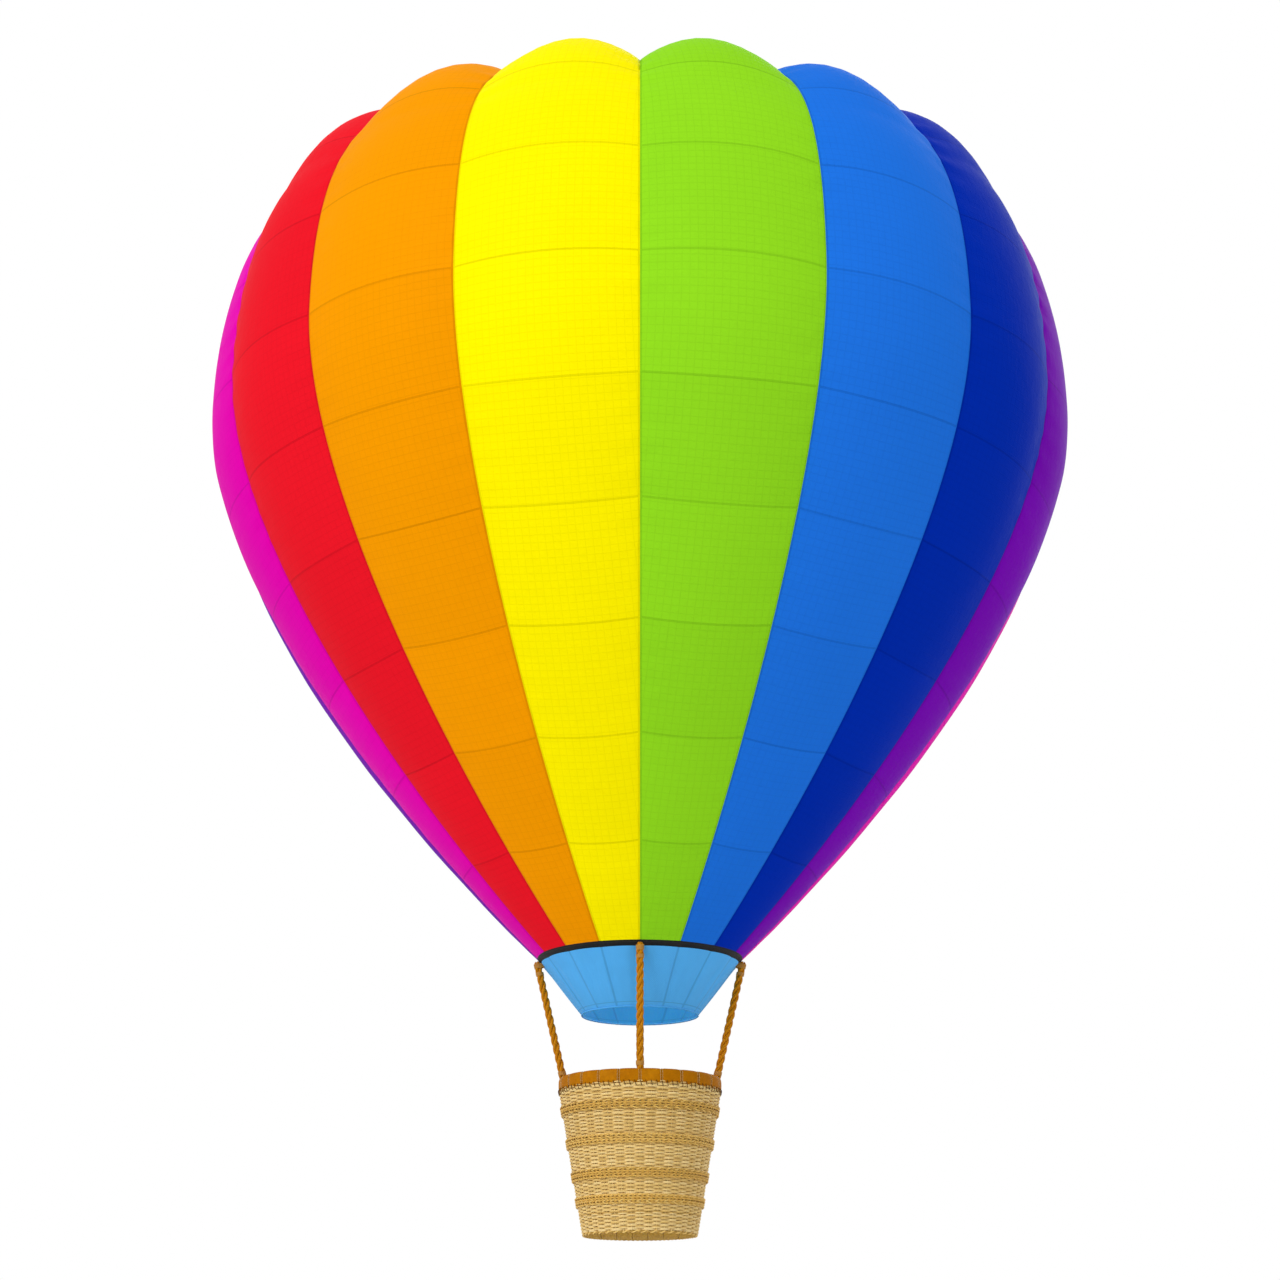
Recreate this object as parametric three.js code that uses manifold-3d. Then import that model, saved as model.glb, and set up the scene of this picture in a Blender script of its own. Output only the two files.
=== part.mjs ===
// A hot air balloon: a lobed envelope of sixteen gores, its vent, mouth and skirt, four ropes,
// and a round wicker basket with its burner and two fuel cylinders.
// Millimetres, +Z up, the front is -Y. The origin is on the axis at the envelope's widest level.

import * as THREE from 'three';
import { mergeVertices } from 'three/addons/utils/BufferGeometryUtils.js';
import Module from 'manifold-3d';

// Clearance between pieces that touch, and the distance under which two corners are one
const TOUCH_GAP = 0.3;
const SAME_POINT = 1e-4;

// Sides of small round bars, of their holes, and of the rings' tubes and rounds
const BAR_SIDES = 12;
const HOLE_SIDES = 16;
const SOCKET_SIDES = 24;
const TUBE_SIDES = 8;
const RING_SIDES = 32;

// Envelope, measured along a seam
const GORE_COUNT = 16;
const GORE_THICKNESS = 10;
const WIDEST_RADIUS = 5000;
const MOUTH_RADIUS = 1146;
const MOUTH_Z = -6372;
const MOUTH_SLOPE_DEG = 45;
const MOUTH_HANDLE = 2220;
const BELOW_WIDEST_HANDLE = 2026;
const ABOVE_WIDEST_HANDLE = 3359;
const SHOULDER_RADIUS = 2248;
const SHOULDER_Z = 3265;
const SHOULDER_SLOPE_DEG = 21.5;
const SHOULDER_HANDLE = 994;
const OPENING_RADIUS = 1500;
const OPENING_Z = 3470;
const OPENING_SLOPE_DEG = 8;
const CROWN_HANDLE = 250;
const LOWER_STEPS = 8;
const UPPER_STEPS = 7;
const CROWN_STEPS = 3;
const STEPS_ACROSS_GORE = 4;

// Depth of a gore's lobe over its width: share of the way from mouth to shoulder, then the depth
const LOBE_DEPTHS = [
  [0, 0.05],
  [0.3, 0.086],
  [0.55, 0.107],
  [0.78, 0.086],
  [1, 0.4],
];
const OPENING_LOBE_DEPTH = 0.15;

// Vent panel under the top opening, and the tapes that cross the opening
const VENT_THICKNESS = 10;
const VENT_DOME_RADII = [1300, 650, 0];
const TAPE_CLEARANCE = 5;
const TAPE_END_GAP = 2;
const TAPE_WIDTH = 50;
const TAPE_THICKNESS = 8;
const CROWN_RING_OUTER = 190;
const CROWN_RING_INNER = 110;
const CROWN_RISE = 60;

// Mouth band and skirt
const BAND_WIDTH = 70;
const BAND_THICKNESS = 14;
const SKIRT_MOUTH_RADIUS = 654;
const SKIRT_MOUTH_Z = -6993;
const SKIRT_THICKNESS = 8;
const HOOP_TUBE = 9;

// Ropes
const ROPE_RADIUS = 42.5;
const ROPE_FOOT_RADIUS = 850;
const ROPE_SOCKET_DEPTH = 90;
const ROPE_SOCKET_RADIUS = 43.6;

// Basket
const BASKET_SIDES = 32;
const BASKET_BOTTOM_Z = -9400;
const BASKET_BOTTOM_RADIUS = 630;
const BASKET_TOP_RADIUS = 897;
const WALL_THICKNESS = 38;
const FLOOR_THICKNESS = 30;
const RIM_TOP_Z = -7700;
const RIM_HEIGHT = 160;
const RIM_OUTER = 902;
const RIM_WIDTH = 132;
const RIM_TOP_ROUNDING = 45;
const RIM_BOTTOM_ROUNDING = 22;
const BRAID_HEIGHT = 105;
const BRAID_THICKNESS = 16;

// Middle height of each raised braid, from the top one down
const BRAID_LEVELS = [-8073, -8429, -8781, -9053];

// Burner, its two-axis mounting and its frame
const BURNER_Z = -7800;
const FRAME_RING_RADIUS = 380;
const FRAME_TUBE = 19;
const FRAME_ARM_RADIUS = 17;
const PAD_THICKNESS = 10;
const PAD_WIDTH = 110;
const PAD_HEIGHT = 76;
const GIMBAL_RADIUS = 310;
const GIMBAL_TUBE = 14;
const BOSS_RADIUS = 20;
const BOSS_HALF_LENGTH = 21;
const PIN_RADIUS = 8;
const PIN_HOLE_RADIUS = 8.6;
const CAN_SIDES = 20;
const CAN_RADIUS = 85;
const CAN_WALL = 4;
const CAN_HEIGHT = 185;
const CAN_SPACING = 190;
const BASE_LENGTH = 340;
const BASE_DEPTH = 130;
const BASE_HEIGHT = 60;
const BASE_TOP = 15;
const VALVE_SIZE = 62;
const VALVE_SINK = 4;
const PIN_SINK = 5;
const PIN_SHORT = 3;

// Fuel cylinders and the brackets that hold them to the wall
const CYLINDER_SIDES = 20;
const CYLINDER_RADIUS = 150;
const CYLINDER_HEIGHT = 860;
const CYLINDER_SHOULDER = 70;
const CYLINDER_FLANK_START = 90;
const CYLINDER_DISTANCE = 435;
const CYLINDER_AZIMUTH_DEG = 33.75;
const FOOT_RADIUS = 115;
const FOOT_HEIGHT = 30;
const FOOT_WALL = 8;
const COLLAR_RADIUS = 95;
const COLLAR_HEIGHT = 80;
const COLLAR_WALL = 6;
const COLLAR_FLOOR = 5;
const STRAP_THICKNESS = 7;
const STRAP_HEIGHT = 50;
const STRAP_LEVEL = 560;
const STRAP_TAB_HALF_WIDTH = 40;

const wasm = await Module();
wasm.setup();

const rad = THREE.MathUtils.degToRad;
const balloon = new THREE.Group();

// The finishes
const finish = (color, roughness, metalness = 0) =>
  new THREE.MeshStandardMaterial({ color, roughness, metalness });

const goreColours = ['#8fd81f', '#1e71e0', '#002bac', '#7607b1', '#e400ae', '#e81626', '#f39800', '#fff100'];
const goreFinishes = goreColours.map((colour) => finish(colour, 0.6));
const skirtFinish = finish('#55a8e0', 0.7);
const webbingFinish = finish('#101010', 0.8);
const ropeFinish = finish('#ae6f00', 0.85);
const rimFinish = finish('#a86a06', 0.55);
const wickerFinish = finish('#cfae6a', 0.7);
const braidFinish = finish('#c39a46', 0.7);
const floorFinish = finish('#9d7c38', 0.75);
const steelFinish = finish('#b8babd', 0.35, 1);
const aluminiumFinish = finish('#c9ccd0', 0.4, 1);
const leatherFinish = finish('#6b4220', 0.6);

function addPiece(name, geometry, material, parent = balloon) {
  const mesh = new THREE.Mesh(geometry, material);
  mesh.name = name;
  parent.add(mesh);
  return mesh;
}

// A ring or turned piece: the outline runs anticlockwise, radius to the right and height upwards
function turned(outline, sides, start = 0) {
  const points = outline.map(([radius, height]) => new THREE.Vector2(radius, height));
  return new THREE.LatheGeometry(points, sides, start).rotateX(Math.PI / 2);
}

// A turned ring's outline comes back to its first point
function turnedRing(outline, sides, start = 0) {
  return turned([...outline, outline[0]], sides, start);
}

function asManifold(geometry) {
  const bare = geometry.clone();
  bare.deleteAttribute('normal');
  bare.deleteAttribute('uv');
  const merged = mergeVertices(bare, SAME_POINT);
  const vertProperties = new Float32Array(merged.attributes.position.array);
  const triVerts = new Uint32Array(merged.index.array);
  return new wasm.Manifold(new wasm.Mesh({ numProp: 3, vertProperties, triVerts }));
}

function asGeometry(solid) {
  const mesh = solid.getMesh();
  const geometry = new THREE.BufferGeometry();
  geometry.setAttribute('position', new THREE.BufferAttribute(new Float32Array(mesh.vertProperties), 3));
  geometry.setIndex(new THREE.BufferAttribute(new Uint32Array(mesh.triVerts), 1));
  geometry.computeVertexNormals();
  return geometry;
}

function joined(geometries) {
  return geometries.map(asManifold).reduce((whole, piece) => whole.add(piece));
}

// A closed thin sheet from its outer and inner grids of points, rows by columns
function sheetGeometry(outer, inner) {
  const rows = outer.length;
  const columns = outer[0].length;
  const positions = [...outer.flat(), ...inner.flat()].flatMap((point) => point.toArray());
  const outside = (row, column) => row * columns + column;
  const inside = (row, column) => rows * columns + row * columns + column;
  const faces = [];
  const quad = (a, b, c, d) => faces.push(a, b, c, a, c, d);
  const last = columns - 1;
  const top = rows - 1;
  for (let row = 0; row < top; row += 1) {
    const above = row + 1;
    for (let column = 0; column < last; column += 1) {
      const next = column + 1;
      quad(outside(row, column), outside(row, next), outside(above, next), outside(above, column));
      quad(inside(row, column), inside(above, column), inside(above, next), inside(row, next));
    }
    quad(outside(row, 0), outside(above, 0), inside(above, 0), inside(row, 0));
    quad(outside(row, last), inside(row, last), inside(above, last), outside(above, last));
  }
  for (let column = 0; column < last; column += 1) {
    const next = column + 1;
    quad(outside(0, column), inside(0, column), inside(0, next), outside(0, next));
    quad(outside(top, column), outside(top, next), inside(top, next), inside(top, column));
  }
  const geometry = new THREE.BufferGeometry();
  geometry.setAttribute('position', new THREE.Float32BufferAttribute(positions, 3));
  geometry.setIndex(faces);
  geometry.computeVertexNormals();
  return geometry;
}

// The seam's outline, from the mouth over the widest level and the shoulder to the top opening
function bezier(from, fromSlopeDeg, fromHandle, to, toSlopeDeg, toHandle) {
  const a = rad(fromSlopeDeg);
  const b = rad(toSlopeDeg);
  return new THREE.CubicBezierCurve(
    new THREE.Vector2(...from),
    new THREE.Vector2(from[0] + fromHandle * Math.cos(a), from[1] + fromHandle * Math.sin(a)),
    new THREE.Vector2(to[0] - toHandle * Math.cos(b), to[1] - toHandle * Math.sin(b)),
    new THREE.Vector2(...to),
  );
}

const mouth = [MOUTH_RADIUS, MOUTH_Z];
const widest = [WIDEST_RADIUS, 0];
const shoulder = [SHOULDER_RADIUS, SHOULDER_Z];
const opening = [OPENING_RADIUS, OPENING_Z];
const shoulderTurn = 180 - SHOULDER_SLOPE_DEG;
const openingTurn = 180 - OPENING_SLOPE_DEG;
const lowerSeam = bezier(mouth, MOUTH_SLOPE_DEG, MOUTH_HANDLE, widest, 90, BELOW_WIDEST_HANDLE);
const upperSeam = bezier(widest, 90, ABOVE_WIDEST_HANDLE, shoulder, shoulderTurn, SHOULDER_HANDLE);
const crownSeam = bezier(shoulder, shoulderTurn, CROWN_HANDLE, opening, openingTurn, CROWN_HANDLE);

function lobeDepth(share) {
  const next = Math.max(1, LOBE_DEPTHS.findIndex(([at]) => at >= share));
  const [fromShare, fromDepth] = LOBE_DEPTHS[next - 1];
  const [toShare, toDepth] = LOBE_DEPTHS[next];
  return THREE.MathUtils.mapLinear(share, fromShare, toShare, fromDepth, toDepth);
}

// A station along the seam: radius, height, outward normal, and the lobe's depth and direction
function station(curve, t, depth) {
  const point = curve.getPointAt(t);
  const tangent = curve.getTangentAt(t);
  const normal = { outward: tangent.y, upward: -tangent.x };
  return { radius: point.x, z: point.y, normal, lobe: normal, depth };
}

function seamStations() {
  const lowerLength = lowerSeam.getLength();
  const length = lowerLength + upperSeam.getLength();
  const stations = [];
  for (let i = 0; i <= LOWER_STEPS; i += 1) {
    const t = i / LOWER_STEPS;
    stations.push(station(lowerSeam, t, lobeDepth((t * lowerLength) / length)));
  }
  stations[0].lobe = { outward: 1, upward: 0 };
  for (let i = 1; i <= UPPER_STEPS; i += 1) {
    const t = i / UPPER_STEPS;
    const share = Math.min(1, (lowerLength + t * (length - lowerLength)) / length);
    stations.push(station(upperSeam, t, lobeDepth(share)));
  }
  const lobeAtShoulder = LOBE_DEPTHS.at(-1)[1];
  for (let i = 1; i <= CROWN_STEPS; i += 1) {
    const t = i / CROWN_STEPS;
    stations.push(station(crownSeam, t, THREE.MathUtils.lerp(lobeAtShoulder, OPENING_LOBE_DEPTH, t)));
  }
  return stations;
}

// A point of a gore: across runs from -1 at one seam to 1 at the other
function gorePoint({ radius, z, normal, lobe, depth }, across, inset) {
  const half = Math.PI / GORE_COUNT;
  const seamAngle = half - TOUCH_GAP / 2 / radius;
  const azimuth = half + across * seamAngle;
  const flatRadius = (radius * Math.cos(half)) / Math.cos(across * half);
  const rise = depth * 2 * radius * Math.sin(half) * (1 - across * across);
  const reach = flatRadius + rise * lobe.outward - inset * normal.outward;
  const height = z + rise * lobe.upward - inset * normal.upward;
  return new THREE.Vector3(reach * Math.sin(azimuth), -reach * Math.cos(azimuth), height);
}

function goreGeometry(stations) {
  const places = Array.from({ length: STEPS_ACROSS_GORE + 1 }, (_, i) => (2 * i) / STEPS_ACROSS_GORE - 1);
  const grid = (inset) => stations.map((at) => places.map((across) => gorePoint(at, across, inset)));
  return sheetGeometry(grid(0), grid(GORE_THICKNESS));
}

// Each gore is sewn from a lower panel, up to the widest level, and an upper one
function addEnvelope() {
  const stations = seamStations();
  const joint = stations[LOWER_STEPS];
  const aboveJoint = { ...joint, z: joint.z + TOUCH_GAP };
  const panels = {
    lower: goreGeometry(stations.slice(0, LOWER_STEPS + 1)),
    upper: goreGeometry([aboveJoint, ...stations.slice(LOWER_STEPS + 1)]),
  };
  for (let i = 0; i < GORE_COUNT; i += 1) {
    const number = String(i + 1).padStart(2, '0');
    for (const [place, geometry] of Object.entries(panels)) {
      const panel = addPiece(`gore_${number}_${place}`, geometry, goreFinishes[i % goreFinishes.length]);
      panel.rotation.z = (i * 2 * Math.PI) / GORE_COUNT;
    }
  }
}

// Height of the tapes' underside: they rise in straight lines to the crown ring
const tapeHeight = (radius) => OPENING_Z + CROWN_RISE * (1 - radius / OPENING_RADIUS) - TAPE_THICKNESS;

// The vent's rim lies against the gores' inner side, between the last two stations of the seam
function addVent() {
  const [edge, lip] = seamStations().slice(-2).map((at) => [
    at.radius - GORE_THICKNESS * at.normal.outward,
    at.z - GORE_THICKNESS * at.normal.upward - TOUCH_GAP,
  ]);
  const dome = VENT_DOME_RADII.map((radius) => [radius, tapeHeight(radius) - TAPE_CLEARANCE]);
  const top = [edge, lip, ...dome];
  const bottom = top.map(([radius, z]) => [radius, z - VENT_THICKNESS]).reverse();
  addPiece('parachute_vent', turned([...bottom, ...top], 2 * GORE_COUNT), goreFinishes[7]);
}

// A ring with an arm along each seam, whose end follows the two gores that meet there
function addCrownTapes() {
  const outline = [];
  const half = Math.PI / GORE_COUNT;
  const edgeRadius = (turn) =>
    (OPENING_RADIUS * Math.cos(half)) / Math.cos(half - Math.abs(turn)) - TAPE_END_GAP;
  const ringTurn = Math.asin(TAPE_WIDTH / 2 / CROWN_RING_OUTER);
  const endTurn = Math.asin(TAPE_WIDTH / 2 / OPENING_RADIUS);
  for (let i = 0; i < GORE_COUNT; i += 1) {
    const azimuth = i * 2 * half;
    const corner = (radius, turn) =>
      outline.push(new THREE.Vector2(radius * Math.cos(azimuth + turn), radius * Math.sin(azimuth + turn)));
    corner(CROWN_RING_OUTER, -ringTurn);
    [-endTurn, 0, endTurn].forEach((turn) => corner(edgeRadius(turn), turn));
    corner(CROWN_RING_OUTER, ringTurn);
  }
  const shape = new THREE.Shape(outline);
  shape.holes.push(new THREE.Path().absarc(0, 0, CROWN_RING_INNER, 0, 2 * Math.PI, true));
  const extrusion = { depth: TAPE_THICKNESS, bevelEnabled: false, curveSegments: HOLE_SIDES };
  const geometry = new THREE.ExtrudeGeometry(shape, extrusion);
  const position = geometry.attributes.position;
  for (let i = 0; i < position.count; i += 1) {
    const radius = Math.hypot(position.getX(i), position.getY(i));
    position.setZ(i, position.getZ(i) + tapeHeight(radius));
  }
  addPiece('crown_ring_and_tapes', geometry, webbingFinish);
}

// The band follows the gores' slope, and the skirt carries on to its own narrower mouth
const slopeOut = Math.cos(rad(MOUTH_SLOPE_DEG));
const slopeUp = Math.sin(rad(MOUTH_SLOPE_DEG));

function belowMouth(distance, inset = 0) {
  return [
    MOUTH_RADIUS - distance * slopeOut - inset * slopeUp,
    MOUTH_Z - distance * slopeUp + inset * slopeOut,
  ];
}

function addMouthBand() {
  const outline = [
    belowMouth(TOUCH_GAP),
    belowMouth(TOUCH_GAP, BAND_THICKNESS),
    belowMouth(BAND_WIDTH, BAND_THICKNESS),
    belowMouth(BAND_WIDTH),
  ];
  addPiece('mouth_band', turnedRing(outline, 2 * GORE_COUNT), webbingFinish);
}

function addSkirt() {
  const [topRadius, topZ] = belowMouth(BAND_WIDTH + TOUCH_GAP);
  const [innerTopRadius, innerTopZ] = belowMouth(BAND_WIDTH + TOUCH_GAP, SKIRT_THICKNESS);
  const outline = [
    [topRadius, topZ],
    [innerTopRadius, innerTopZ],
    [SKIRT_MOUTH_RADIUS - SKIRT_THICKNESS, SKIRT_MOUTH_Z],
    [SKIRT_MOUTH_RADIUS, SKIRT_MOUTH_Z],
  ];
  addPiece('skirt', turnedRing(outline, 2 * GORE_COUNT), skirtFinish);
  const hoopRadius = SKIRT_MOUTH_RADIUS - SKIRT_THICKNESS / 2;
  const hoop = new THREE.TorusGeometry(hoopRadius, HOOP_TUBE, TUBE_SIDES, 2 * GORE_COUNT);
  hoop.translate(0, 0, SKIRT_MOUTH_Z - HOOP_TUBE - TOUCH_GAP);
  addPiece('skirt_hoop', hoop, skirtFinish);
}

// Each rope's round end bears on the middle of the mouth band, and its foot is sunk in the rim
const bandMiddle = belowMouth(BAND_WIDTH / 2);
const bearing = ROPE_RADIUS + 2 * TOUCH_GAP;
const ropeHead = [bandMiddle[0] + bearing * slopeUp, bandMiddle[1] - bearing * slopeOut];
const ropeRun = [ropeHead[0] - ROPE_FOOT_RADIUS, ropeHead[1] - RIM_TOP_Z];
const ropeTilt = Math.atan2(ropeRun[0], ropeRun[1]);
const ropeLength = Math.hypot(...ropeRun) + ROPE_SOCKET_DEPTH;

// Places a piece made upright at a rope's foot on the rope's own leaning line, at an azimuth
function alongRope(geometry, drop, azimuth) {
  geometry.translate(0, 0, -drop).rotateX(ropeTilt);
  return geometry.translate(0, -ROPE_FOOT_RADIUS, RIM_TOP_Z).rotateZ(azimuth);
}

const ROPE_PLACES = [['front', 0], ['right', Math.PI / 2], ['back', Math.PI], ['left', -Math.PI / 2]];

function ropeGeometry(azimuth) {
  const outline = [[0, 0], [ROPE_RADIUS, 0]];
  for (const angle of [0, 30, 60]) {
    outline.push([ROPE_RADIUS * Math.cos(rad(angle)), ropeLength + ROPE_RADIUS * Math.sin(rad(angle))]);
  }
  outline.push([0, ropeLength + ROPE_RADIUS]);
  return alongRope(turned(outline, BAR_SIDES), ROPE_SOCKET_DEPTH, azimuth);
}

function addRopes() {
  for (const [place, azimuth] of ROPE_PLACES) {
    addPiece(`rope_${place}`, ropeGeometry(azimuth), ropeFinish);
  }
}

// Basket wall: the outer radius at a height
const wallTopZ = RIM_TOP_Z - RIM_HEIGHT - TOUCH_GAP;
const basketRadius = (z) =>
  THREE.MathUtils.mapLinear(z, BASKET_BOTTOM_Z, wallTopZ, BASKET_BOTTOM_RADIUS, BASKET_TOP_RADIUS);
const facetTurn = Math.PI / BASKET_SIDES;
const facetShare = Math.cos(facetTurn);

function addBasketWall() {
  const outline = [
    [BASKET_BOTTOM_RADIUS - WALL_THICKNESS, BASKET_BOTTOM_Z],
    [BASKET_BOTTOM_RADIUS, BASKET_BOTTOM_Z],
    [BASKET_TOP_RADIUS, wallTopZ],
    [BASKET_TOP_RADIUS - WALL_THICKNESS, wallTopZ],
  ];
  addPiece('basket_wall', turnedRing(outline, BASKET_SIDES, facetTurn), wickerFinish);
}

function addFloor() {
  const topZ = BASKET_BOTTOM_Z + FLOOR_THICKNESS;
  const inset = WALL_THICKNESS + 2 * TOUCH_GAP;
  const outline = [
    [0, BASKET_BOTTOM_Z],
    [basketRadius(BASKET_BOTTOM_Z) - inset, BASKET_BOTTOM_Z],
    [basketRadius(topZ) - inset, topZ],
    [0, topZ],
  ];
  addPiece('basket_floor', turned(outline, BASKET_SIDES, facetTurn), floorFinish);
}

function addBraids() {
  BRAID_LEVELS.forEach((level, i) => {
    const low = level - BRAID_HEIGHT / 2;
    const high = level + BRAID_HEIGHT / 2;
    const seat = 2 * TOUCH_GAP;
    const outline = [
      [basketRadius(low) + seat, low],
      [basketRadius(low) + BRAID_THICKNESS, low + BRAID_THICKNESS / 2],
      [basketRadius(high) + BRAID_THICKNESS, high - BRAID_THICKNESS / 2],
      [basketRadius(high) + seat, high],
    ];
    addPiece(`braid_${i + 1}`, turnedRing(outline, BASKET_SIDES, facetTurn), braidFinish);
  });
}

// The padded rim: a ring of rounded section, with a socket for each rope's foot
function roundedCorner(centreRadius, centreZ, rounding, fromDeg) {
  return [0, 45, 90].map((turn) => [
    centreRadius + rounding * Math.cos(rad(fromDeg + turn)),
    centreZ + rounding * Math.sin(rad(fromDeg + turn)),
  ]);
}

function addRim() {
  const inner = RIM_OUTER - RIM_WIDTH;
  const bottom = RIM_TOP_Z - RIM_HEIGHT;
  const low = bottom + RIM_BOTTOM_ROUNDING;
  const high = RIM_TOP_Z - RIM_TOP_ROUNDING;
  const outline = [
    ...roundedCorner(RIM_OUTER - RIM_BOTTOM_ROUNDING, low, RIM_BOTTOM_ROUNDING, -90),
    ...roundedCorner(RIM_OUTER - RIM_TOP_ROUNDING, high, RIM_TOP_ROUNDING, 0),
    ...roundedCorner(inner + RIM_TOP_ROUNDING, high, RIM_TOP_ROUNDING, 90),
    ...roundedCorner(inner + RIM_BOTTOM_ROUNDING, low, RIM_BOTTOM_ROUNDING, 180),
  ];
  let rim = asManifold(turnedRing(outline, BASKET_SIDES, facetTurn));
  const height = 2 * ROPE_SOCKET_DEPTH;
  for (const [, azimuth] of ROPE_PLACES) {
    const plug = new THREE.CylinderGeometry(ROPE_SOCKET_RADIUS, ROPE_SOCKET_RADIUS, height, SOCKET_SIDES);
    plug.rotateX(Math.PI / 2).translate(0, 0, height / 2 - TOUCH_GAP);
    rim = rim.subtract(asManifold(alongRope(plug, ROPE_SOCKET_DEPTH, azimuth)));
  }
  addPiece('basket_rim', asGeometry(rim), rimFinish);
}

// A round bar between two distances from the axis, at an azimuth from +X
function radialBar(from, to, radius, azimuth, sides = BAR_SIDES) {
  const bar = new THREE.CylinderGeometry(radius, radius, to - from, sides);
  return bar.rotateZ(Math.PI / 2).translate((from + to) / 2, 0, 0).rotateZ(azimuth);
}

function addBurnerFrame() {
  const rimFace = (RIM_OUTER - RIM_WIDTH) * facetShare - TOUCH_GAP;
  const pieces = [new THREE.TorusGeometry(FRAME_RING_RADIUS, FRAME_TUBE, TUBE_SIDES, RING_SIDES)];
  for (const azimuthDeg of [45, 135, 225, 315]) {
    const pad = new THREE.BoxGeometry(PAD_THICKNESS, PAD_WIDTH, PAD_HEIGHT);
    pad.translate(rimFace - PAD_THICKNESS / 2, 0, 0).rotateZ(rad(azimuthDeg));
    const armEnd = rimFace - PAD_THICKNESS / 2;
    pieces.push(pad, radialBar(FRAME_RING_RADIUS, armEnd, FRAME_ARM_RADIUS, rad(azimuthDeg)));
  }
  const pinEnd = GIMBAL_RADIUS - BOSS_HALF_LENGTH + PIN_SHORT;
  for (const azimuth of [0, Math.PI]) {
    pieces.push(radialBar(pinEnd, FRAME_RING_RADIUS, PIN_RADIUS, azimuth));
  }
  const frame = addPiece('burner_frame', asGeometry(joined(pieces)), steelFinish);
  frame.position.z = BURNER_Z;
}

function addGimbalRing() {
  const quarters = [0, 1, 2, 3].map((quarter) => (quarter * Math.PI) / 2);
  const ring = new THREE.TorusGeometry(GIMBAL_RADIUS, GIMBAL_TUBE, TUBE_SIDES, RING_SIDES);
  const bosses = quarters.map((azimuth) =>
    radialBar(GIMBAL_RADIUS - BOSS_HALF_LENGTH, GIMBAL_RADIUS + BOSS_HALF_LENGTH, BOSS_RADIUS, azimuth));
  let solid = joined([ring, ...bosses]);
  const holeStart = GIMBAL_RADIUS - 2 * BOSS_HALF_LENGTH;
  const holeEnd = GIMBAL_RADIUS + 2 * BOSS_HALF_LENGTH;
  for (const azimuth of quarters) {
    const hole = radialBar(holeStart, holeEnd, PIN_HOLE_RADIUS, azimuth, HOLE_SIDES);
    solid = solid.subtract(asManifold(hole));
  }
  const gimbal = addPiece('gimbal_ring', asGeometry(solid), steelFinish);
  gimbal.position.z = BURNER_Z;
}

function addBurner() {
  const base = new THREE.BoxGeometry(BASE_LENGTH, BASE_DEPTH, BASE_HEIGHT);
  base.translate(0, 0, BASE_TOP - BASE_HEIGHT / 2);
  const valves = [-1, 1].map((side) =>
    new THREE.BoxGeometry(VALVE_SIZE, VALVE_SIZE, VALVE_SIZE)
      .translate((side * CAN_SPACING) / 2, 0, BASE_TOP - BASE_HEIGHT - VALVE_SIZE / 2 + VALVE_SINK));
  const pinStart = BASE_DEPTH / 2 - PIN_SINK;
  const pinEnd = GIMBAL_RADIUS + BOSS_HALF_LENGTH - PIN_SHORT;
  const pins = [Math.PI / 2, -Math.PI / 2].map((azimuth) =>
    radialBar(pinStart, pinEnd, PIN_RADIUS, azimuth));
  const body = addPiece('burner_base', asGeometry(joined([base, ...valves, ...pins])), steelFinish);
  body.position.z = BURNER_Z;
  const outline = [
    [0, 0],
    [CAN_RADIUS, 0],
    [CAN_RADIUS, CAN_HEIGHT],
    [CAN_RADIUS - CAN_WALL, CAN_HEIGHT],
    [CAN_RADIUS - CAN_WALL, CAN_WALL],
    [0, CAN_WALL],
  ];
  for (const [side, x] of [['left', -CAN_SPACING / 2], ['right', CAN_SPACING / 2]]) {
    const can = addPiece(`burner_can_${side}`, turned(outline, CAN_SIDES), steelFinish);
    can.position.set(x, 0, BURNER_Z + BASE_TOP + TOUCH_GAP);
  }
}

function cylinderOutline() {
  return [
    [0, FOOT_HEIGHT],
    [FOOT_RADIUS - FOOT_WALL, FOOT_HEIGHT],
    [FOOT_RADIUS - FOOT_WALL, 0],
    [FOOT_RADIUS, 0],
    [FOOT_RADIUS, FOOT_HEIGHT],
    [CYLINDER_RADIUS, CYLINDER_FLANK_START],
    [CYLINDER_RADIUS, CYLINDER_HEIGHT - CYLINDER_SHOULDER],
    [COLLAR_RADIUS, CYLINDER_HEIGHT],
    [COLLAR_RADIUS, CYLINDER_HEIGHT + COLLAR_HEIGHT],
    [COLLAR_RADIUS - COLLAR_WALL, CYLINDER_HEIGHT + COLLAR_HEIGHT],
    [COLLAR_RADIUS - COLLAR_WALL, CYLINDER_HEIGHT + COLLAR_FLOOR],
    [0, CYLINDER_HEIGHT + COLLAR_FLOOR],
  ];
}

function bracketGeometry(tabEnd) {
  const outer = CYLINDER_RADIUS + TOUCH_GAP + STRAP_THICKNESS;
  const tabAngle = Math.asin(STRAP_TAB_HALF_WIDTH / outer);
  const shape = new THREE.Shape();
  shape.moveTo(tabEnd, -STRAP_TAB_HALF_WIDTH);
  shape.lineTo(tabEnd, STRAP_TAB_HALF_WIDTH);
  shape.absarc(0, 0, outer, tabAngle, 2 * Math.PI - tabAngle, false);
  const inner = CYLINDER_RADIUS + 2 * TOUCH_GAP;
  shape.holes.push(new THREE.Path().absarc(0, 0, inner, 0, 2 * Math.PI, true));
  const extrusion = { depth: STRAP_HEIGHT, bevelEnabled: false, curveSegments: CYLINDER_SIDES / 2 };
  return new THREE.ExtrudeGeometry(shape, extrusion);
}

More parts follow.
